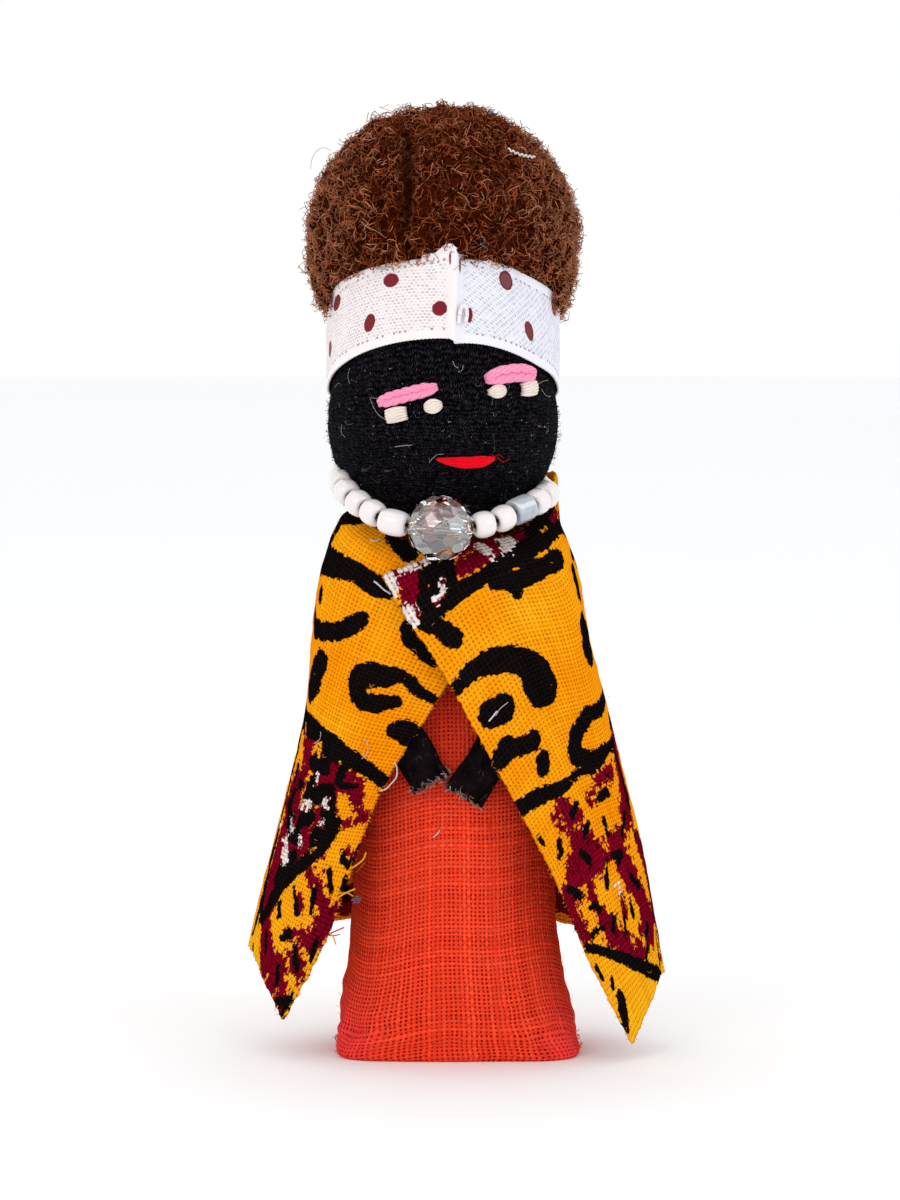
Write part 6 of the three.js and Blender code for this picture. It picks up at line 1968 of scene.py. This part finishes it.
class DOLL_OT_necklace(bpy.types.Operator):
    """Thread the beads and the cut crystal round the neck"""
    bl_idname = "doll.necklace"
    bl_label = "Necklace"

    def execute(self, context):
        look = context.scene.doll_necklace
        row = Necklace()
        white = bead_material(look)
        points, quads, maps = turned(bead_profile(BEAD_R, BEAD_LENGTH, 0.62), BEAD_SIDES)
        pattern = placed("bead pattern", Shape().add(points - SHIFT, quads, maps).mesh("bead"))
        spots = bpy.data.meshes.new("spots")
        spots.from_pydata(((np.array([row.at(s) for s in row.beads]) + SHIFT) * MM).tolist(), [], [])
        aim = spots.attributes.new("aim", "FLOAT_VECTOR", "POINT")
        aim.data.foreach_set("vector", np.array([row.aim(s) for s in row.beads], np.float32).ravel())
        beads = through_nodes(spots, "Beads on a thread", {"Bead": pattern, "Material": white})
        bpy.data.objects.remove(pattern)
        names = [f"bead_{k + 1:02d}" for k in range(len(row.beads))]
        new_piece("beads_white", beads, None, names)

        grey = grey_bead_material(look)
        for node, place, radius, long, blunt, sides, glass, slot in (
                ("bead_long", row.long, BEAD_R, LONG_BEAD_LENGTH, 0.55, BEAD_SIDES, white, "white_bead"),
                ("bead_grey", row.grey, GREY_BEAD_R, GREY_BEAD_LENGTH, 0.22, GREY_BEAD_SIDES, grey,
                 "grey_bead")):
            points, quads, maps = turned(bead_profile(radius, long, blunt), sides)
            points = carried(points, row.at(place), row.aim(place))
            name = node + "_glass"
            new_piece(name, Shape().add(points, quads, maps).mesh(name), glass, [node])

        centre, aim = row.at(row.crystal), row.aim(row.crystal)
        ball = bmesh.new()
        for p in carried(cut_ball(CRYSTAL_R, FACETS), centre, aim):
            ball.verts.new((p + SHIFT) * MM)
        bmesh.ops.convex_hull(ball, input=ball.verts)
        bmesh.ops.dissolve_limit(ball, angle_limit=0.01, verts=ball.verts, edges=ball.edges)
        mesh = bpy.data.meshes.new("crystal_glass")
        ball.to_mesh(mesh)
        ball.free()
        bore = curve_through([centre - aim * 6, centre, centre + aim * 6], 3)
        drill = placed("drill", Shape().add(*tube(bore, BORE_R * 0.8, 14)).mesh("drill"))
        holder = placed("ball", mesh)
        cut = holder.modifiers.new("bore", "BOOLEAN")
        cut.operation, cut.solver, cut.object = "DIFFERENCE", "EXACT", drill
        glass = evaluated(holder)
        bpy.data.objects.remove(drill)
        glass.name = "crystal_glass"
        # a random number for each facet, which picks its painted reflection tint
        facets, which = np.unique(np.round(read(glass.polygons, "normal"), 1), axis=0, return_inverse=True)
        shades = np.random.default_rng(113).uniform(0, 1, len(facets))[which.ravel()]
        glass.attributes.new("facet", "FLOAT", "FACE").data.foreach_set("value", shades.astype(np.float32))
        new_piece("crystal_glass", glass, crystal_material(look), ["crystal"],
                  flat_faces=True)

        s = np.arange(THREAD_STEPS) / THREAD_STEPS * row.loop
        line = np.array([row.at(v) for v in s])
        tangent = unit(np.roll(line, -1, 0) - np.roll(line, 1, 0))
        side = unit(np.cross(tangent, [0, 0, 1.0]))
        out = np.cross(side, tangent)
        thread = Shape()
        turns = round(row.loop / THREAD_TWIST)
        for strand in range(2):
            angle = full_turn(THREAD_STEPS) * turns + strand * math.pi
            path = line + PLY_SWING * (np.cos(angle)[:, None] * side + np.sin(angle)[:, None] * out)
            thread.add(*tube(path, PLY_R, 6, closed=True), tone=strand * 0.4)
        black = thread_material("Black thread", deep(look.thread, 2.2), look.thread, 3.0, 4.0, 0.6, 0.0)
        new_piece("necklace_thread_ply", thread.mesh("necklace_thread_ply"), black,
                  ["necklace_thread"])
        return {"FINISHED"}


class DOLL_OT_arms(bpy.types.Operator):
    """Roll the two glossy black strips that come out from under the shawl"""
    bl_idname = "doll.arms"
    bl_label = "Arms"

    def execute(self, context):
        look = context.scene.doll_arms
        strip = arm_material(look)
        pale = fibre_material("Cut end fibres", deep(look.frayed, 0.4), look.frayed, (0.75, 0.66, 0.6), 0.8)
        for seed, (name, line) in enumerate(ARMS.items(), 101):
            path = curve_through(line, ARM_STEPS)
            s = np.linspace(0, 1, ARM_STEPS)[:, None]
            tangent = unit(np.gradient(path, axis=0))
            out = unit([0, -1.0, 0] - tangent * (tangent @ [0, -1.0, 0])[:, None])
            side = np.cross(tangent, out)
            turn = full_turn(ARM_SIDES)
            where = np.stack(np.broadcast_arrays(np.cos(turn) * 3, np.sin(turn) * 3, s * 5.5), -1)
            roll = 1 + 0.075 * ripples(where, 3.4, seed, 10) + 0.05 * ripples(where, 1.5, seed + 9, 12)
            # a lengthways fold where the strip's outer turn ends
            fold = bell(np.angle(np.exp(1j * (turn - 1.1 - 0.8 * s))), 0.16)
            roll = np.clip(roll, 0.8, 1.06) - 0.13 * fold
            width = ARM_HALF_WIDTH * (0.82 + 0.18 * s) * roll
            thick = ARM_HALF_THICKNESS * roll
            rings = (path[:, None] + side[:, None] * (width * np.cos(turn))[..., None]
                     + out[:, None] * (thick * np.sin(turn))[..., None])
            ragged = 0.35 * ripples(np.stack([np.cos(turn), np.sin(turn)], -1) * 3, 1.2, seed + 20, 12)
            rings[-1] += tangent[-1] * ragged[:, None]
            rings[-2] += tangent[-1] * ragged[:, None] * 0.6
            inside = rings[-1] * 0.55 + path[-1] * 0.45 - tangent[-1] * 0.5
            rings = np.concatenate([rings, inside[None]])
            across = np.linspace(0, 1, ARM_SIDES + 1)
            along = np.append(np.linspace(0, ARM_LENGTH, ARM_STEPS), ARM_LENGTH + 0.6)
            mesh = Shape().add(*loft(rings, across, along)).mesh(name + "_strip")
            new_piece(name + "_strip", mesh, strip, [name])
            end, aim = path[-1], tangent[-1]
            cut = part_of(mesh, "cut", lambda p, n, end=end, aim=aim: (p - end) @ aim > -0.55)
            fibres(name + "_frayed_end", cut, pale)
        return {"FINISHED"}


class DOLL_OT_strays(bpy.types.Operator):
    """Lay the stray threads, hairs and bits of fluff where they have caught"""
    bl_idname = "doll.strays"
    bl_label = "Stray threads"

    def execute(self, context):
        shawl, sewn, hair = context.scene.doll_shawl, context.scene.doll_threads, context.scene.doll_hair
        for kind, slot, light, dark in (
                ("gold", "print_cloth", shawl.pale_gold_and_highlight, shawl.gold),
                ("red", "red_thread", sewn.red, sewn.red_shade),
                ("white", None, (0.85, 0.83, 0.80), (0.6, 0.56, 0.52)),
                ("hair", "hair_fleece", (0.62, 0.42, 0.28), hair.middle),
                ("fluff", None, (0.55, 0.57, 0.62), (0.36, 0.38, 0.42)),
                ("grey", None, (0.17, 0.19, 0.25), (0.08, 0.09, 0.13))):
            shape = Shape()
            for thick, line in STRAYS[kind]:
                shape.add(*tube(curve_through(line, 7 * len(line)), thick, 5))
            material = thread_material(f"Stray {kind}", light, dark)
            new_piece(f"stray_{kind}", shape.mesh(f"stray_{kind}"), material)
        return {"FINISHED"}


class DOLL_OT_stage(bpy.types.Operator):
    """Set up the pale floor, the soft light and the camera"""
    bl_idname = "doll.stage"
    bl_label = "Stage"

    def execute(self, context):
        look = context.scene.doll_stage
        scene = context.scene
        sides = 96
        turn = full_turn(sides)
        rings = np.array([np.stack([r * np.cos(turn), r * np.sin(turn), 0 * turn], 1)
                          for r in (1.0, FLOOR_R)])
        points, quads, *_ = loft(rings, np.arange(sides + 1.0), np.arange(2.0), poles=False)
        mesh = bpy.data.meshes.new("floor")
        mesh.from_pydata((points * MM).tolist(), [], [*quads.tolist(), list(range(sides))])
        if mesh.polygons[0].normal.z < 0:
            mesh.flip_normals()
        mesh.materials.append(floor_material(look))
        floor = placed("floor", mesh)
        target = Vector((0, 0, 0.065))
        for name, place, size, power, tint in (
                ("warm light", (-0.55, -0.75, 0.55), 0.5, look.warm, (1.0, 0.965, 0.935)),
                ("cool light", (0.75, -0.55, 0.45), 0.5, look.cool, (0.90, 0.945, 1.0)),
                ("top light", (-0.15, 0.1, 0.95), 0.7, look.top, (1.0, 1.0, 1.0))):
            lamp = bpy.data.lights.new(name, "AREA")
            lamp.shape, lamp.size, lamp.energy, lamp.color = "DISK", size, power, tint
            light = placed(name, lamp)
            light.location = place
            light.rotation_euler = (target - light.location).to_track_quat("-Z", "Y").to_euler()
        world = bpy.data.worlds.new("studio")
        world.use_nodes = True
        g = Graph(world.node_tree)
        backdrop = world.node_tree.nodes["Background"]
        backdrop.inputs["Color"].default_value = (1.0, 1.0, 1.0, 1.0)
        seen = g.out("ShaderNodeLightPath", pick="Is Camera Ray")
        g.feed(backdrop.inputs["Strength"], g.span(seen, 0.0, 1.0, look.sky, 1.0))
        scene.world = world
        scene.view_settings.view_transform = "Standard"
        scene.view_settings.look = "None"
        data = bpy.data.cameras.new("camera")
        data.lens, data.sensor_width = CAMERA_LENS, 36.0
        data.clip_start, data.clip_end = 0.01, 20.0
        camera = placed("camera", data)
        aim = Vector(CAMERA_AIM) * MM
        rise = math.radians(CAMERA_RISE)
        camera.location = aim + Vector((0, -math.cos(rise), math.sin(rise))) * CAMERA_DISTANCE
        camera.rotation_euler = (math.pi / 2 - rise, 0, 0)
        scene.camera = camera
        return {"FINISHED"}


class DOLL_PT_panel(bpy.types.Panel):
    """Buttons for the pieces of the doll"""
    bl_idname = "DOLL_PT_panel"
    bl_label = "Cloth doll"
    bl_space_type = "VIEW_3D"
    bl_region_type = "UI"
    bl_category = "Doll"

    def draw(self, context):
        for operator in OPERATORS:
            self.layout.operator(operator.bl_idname)


OPERATORS = [DOLL_OT_stage, DOLL_OT_dress, DOLL_OT_head, DOLL_OT_face, DOLL_OT_hair, DOLL_OT_ribbon,
             DOLL_OT_shawl, DOLL_OT_necklace, DOLL_OT_arms, DOLL_OT_strays]


def register():
    for kind in [*LOOKS.values(), *OPERATORS, DOLL_PT_panel]:
        bpy.utils.register_class(kind)
    for name, kind in LOOKS.items():
        setattr(bpy.types.Scene, name, bpy.props.PointerProperty(type=kind))


def unregister():
    for name in LOOKS:
        delattr(bpy.types.Scene, name)
    for kind in reversed([*LOOKS.values(), *OPERATORS, DOLL_PT_panel]):
        bpy.utils.unregister_class(kind)


def main():
    register()
    for build in (build_weave_group, build_fade_group, build_ply_group, build_fibre_tree, build_bead_tree):
        build()
    for operator in OPERATORS:
        getattr(bpy.ops.doll, operator.bl_idname.split(".")[1])()


if __name__ == "__main__":
    main()
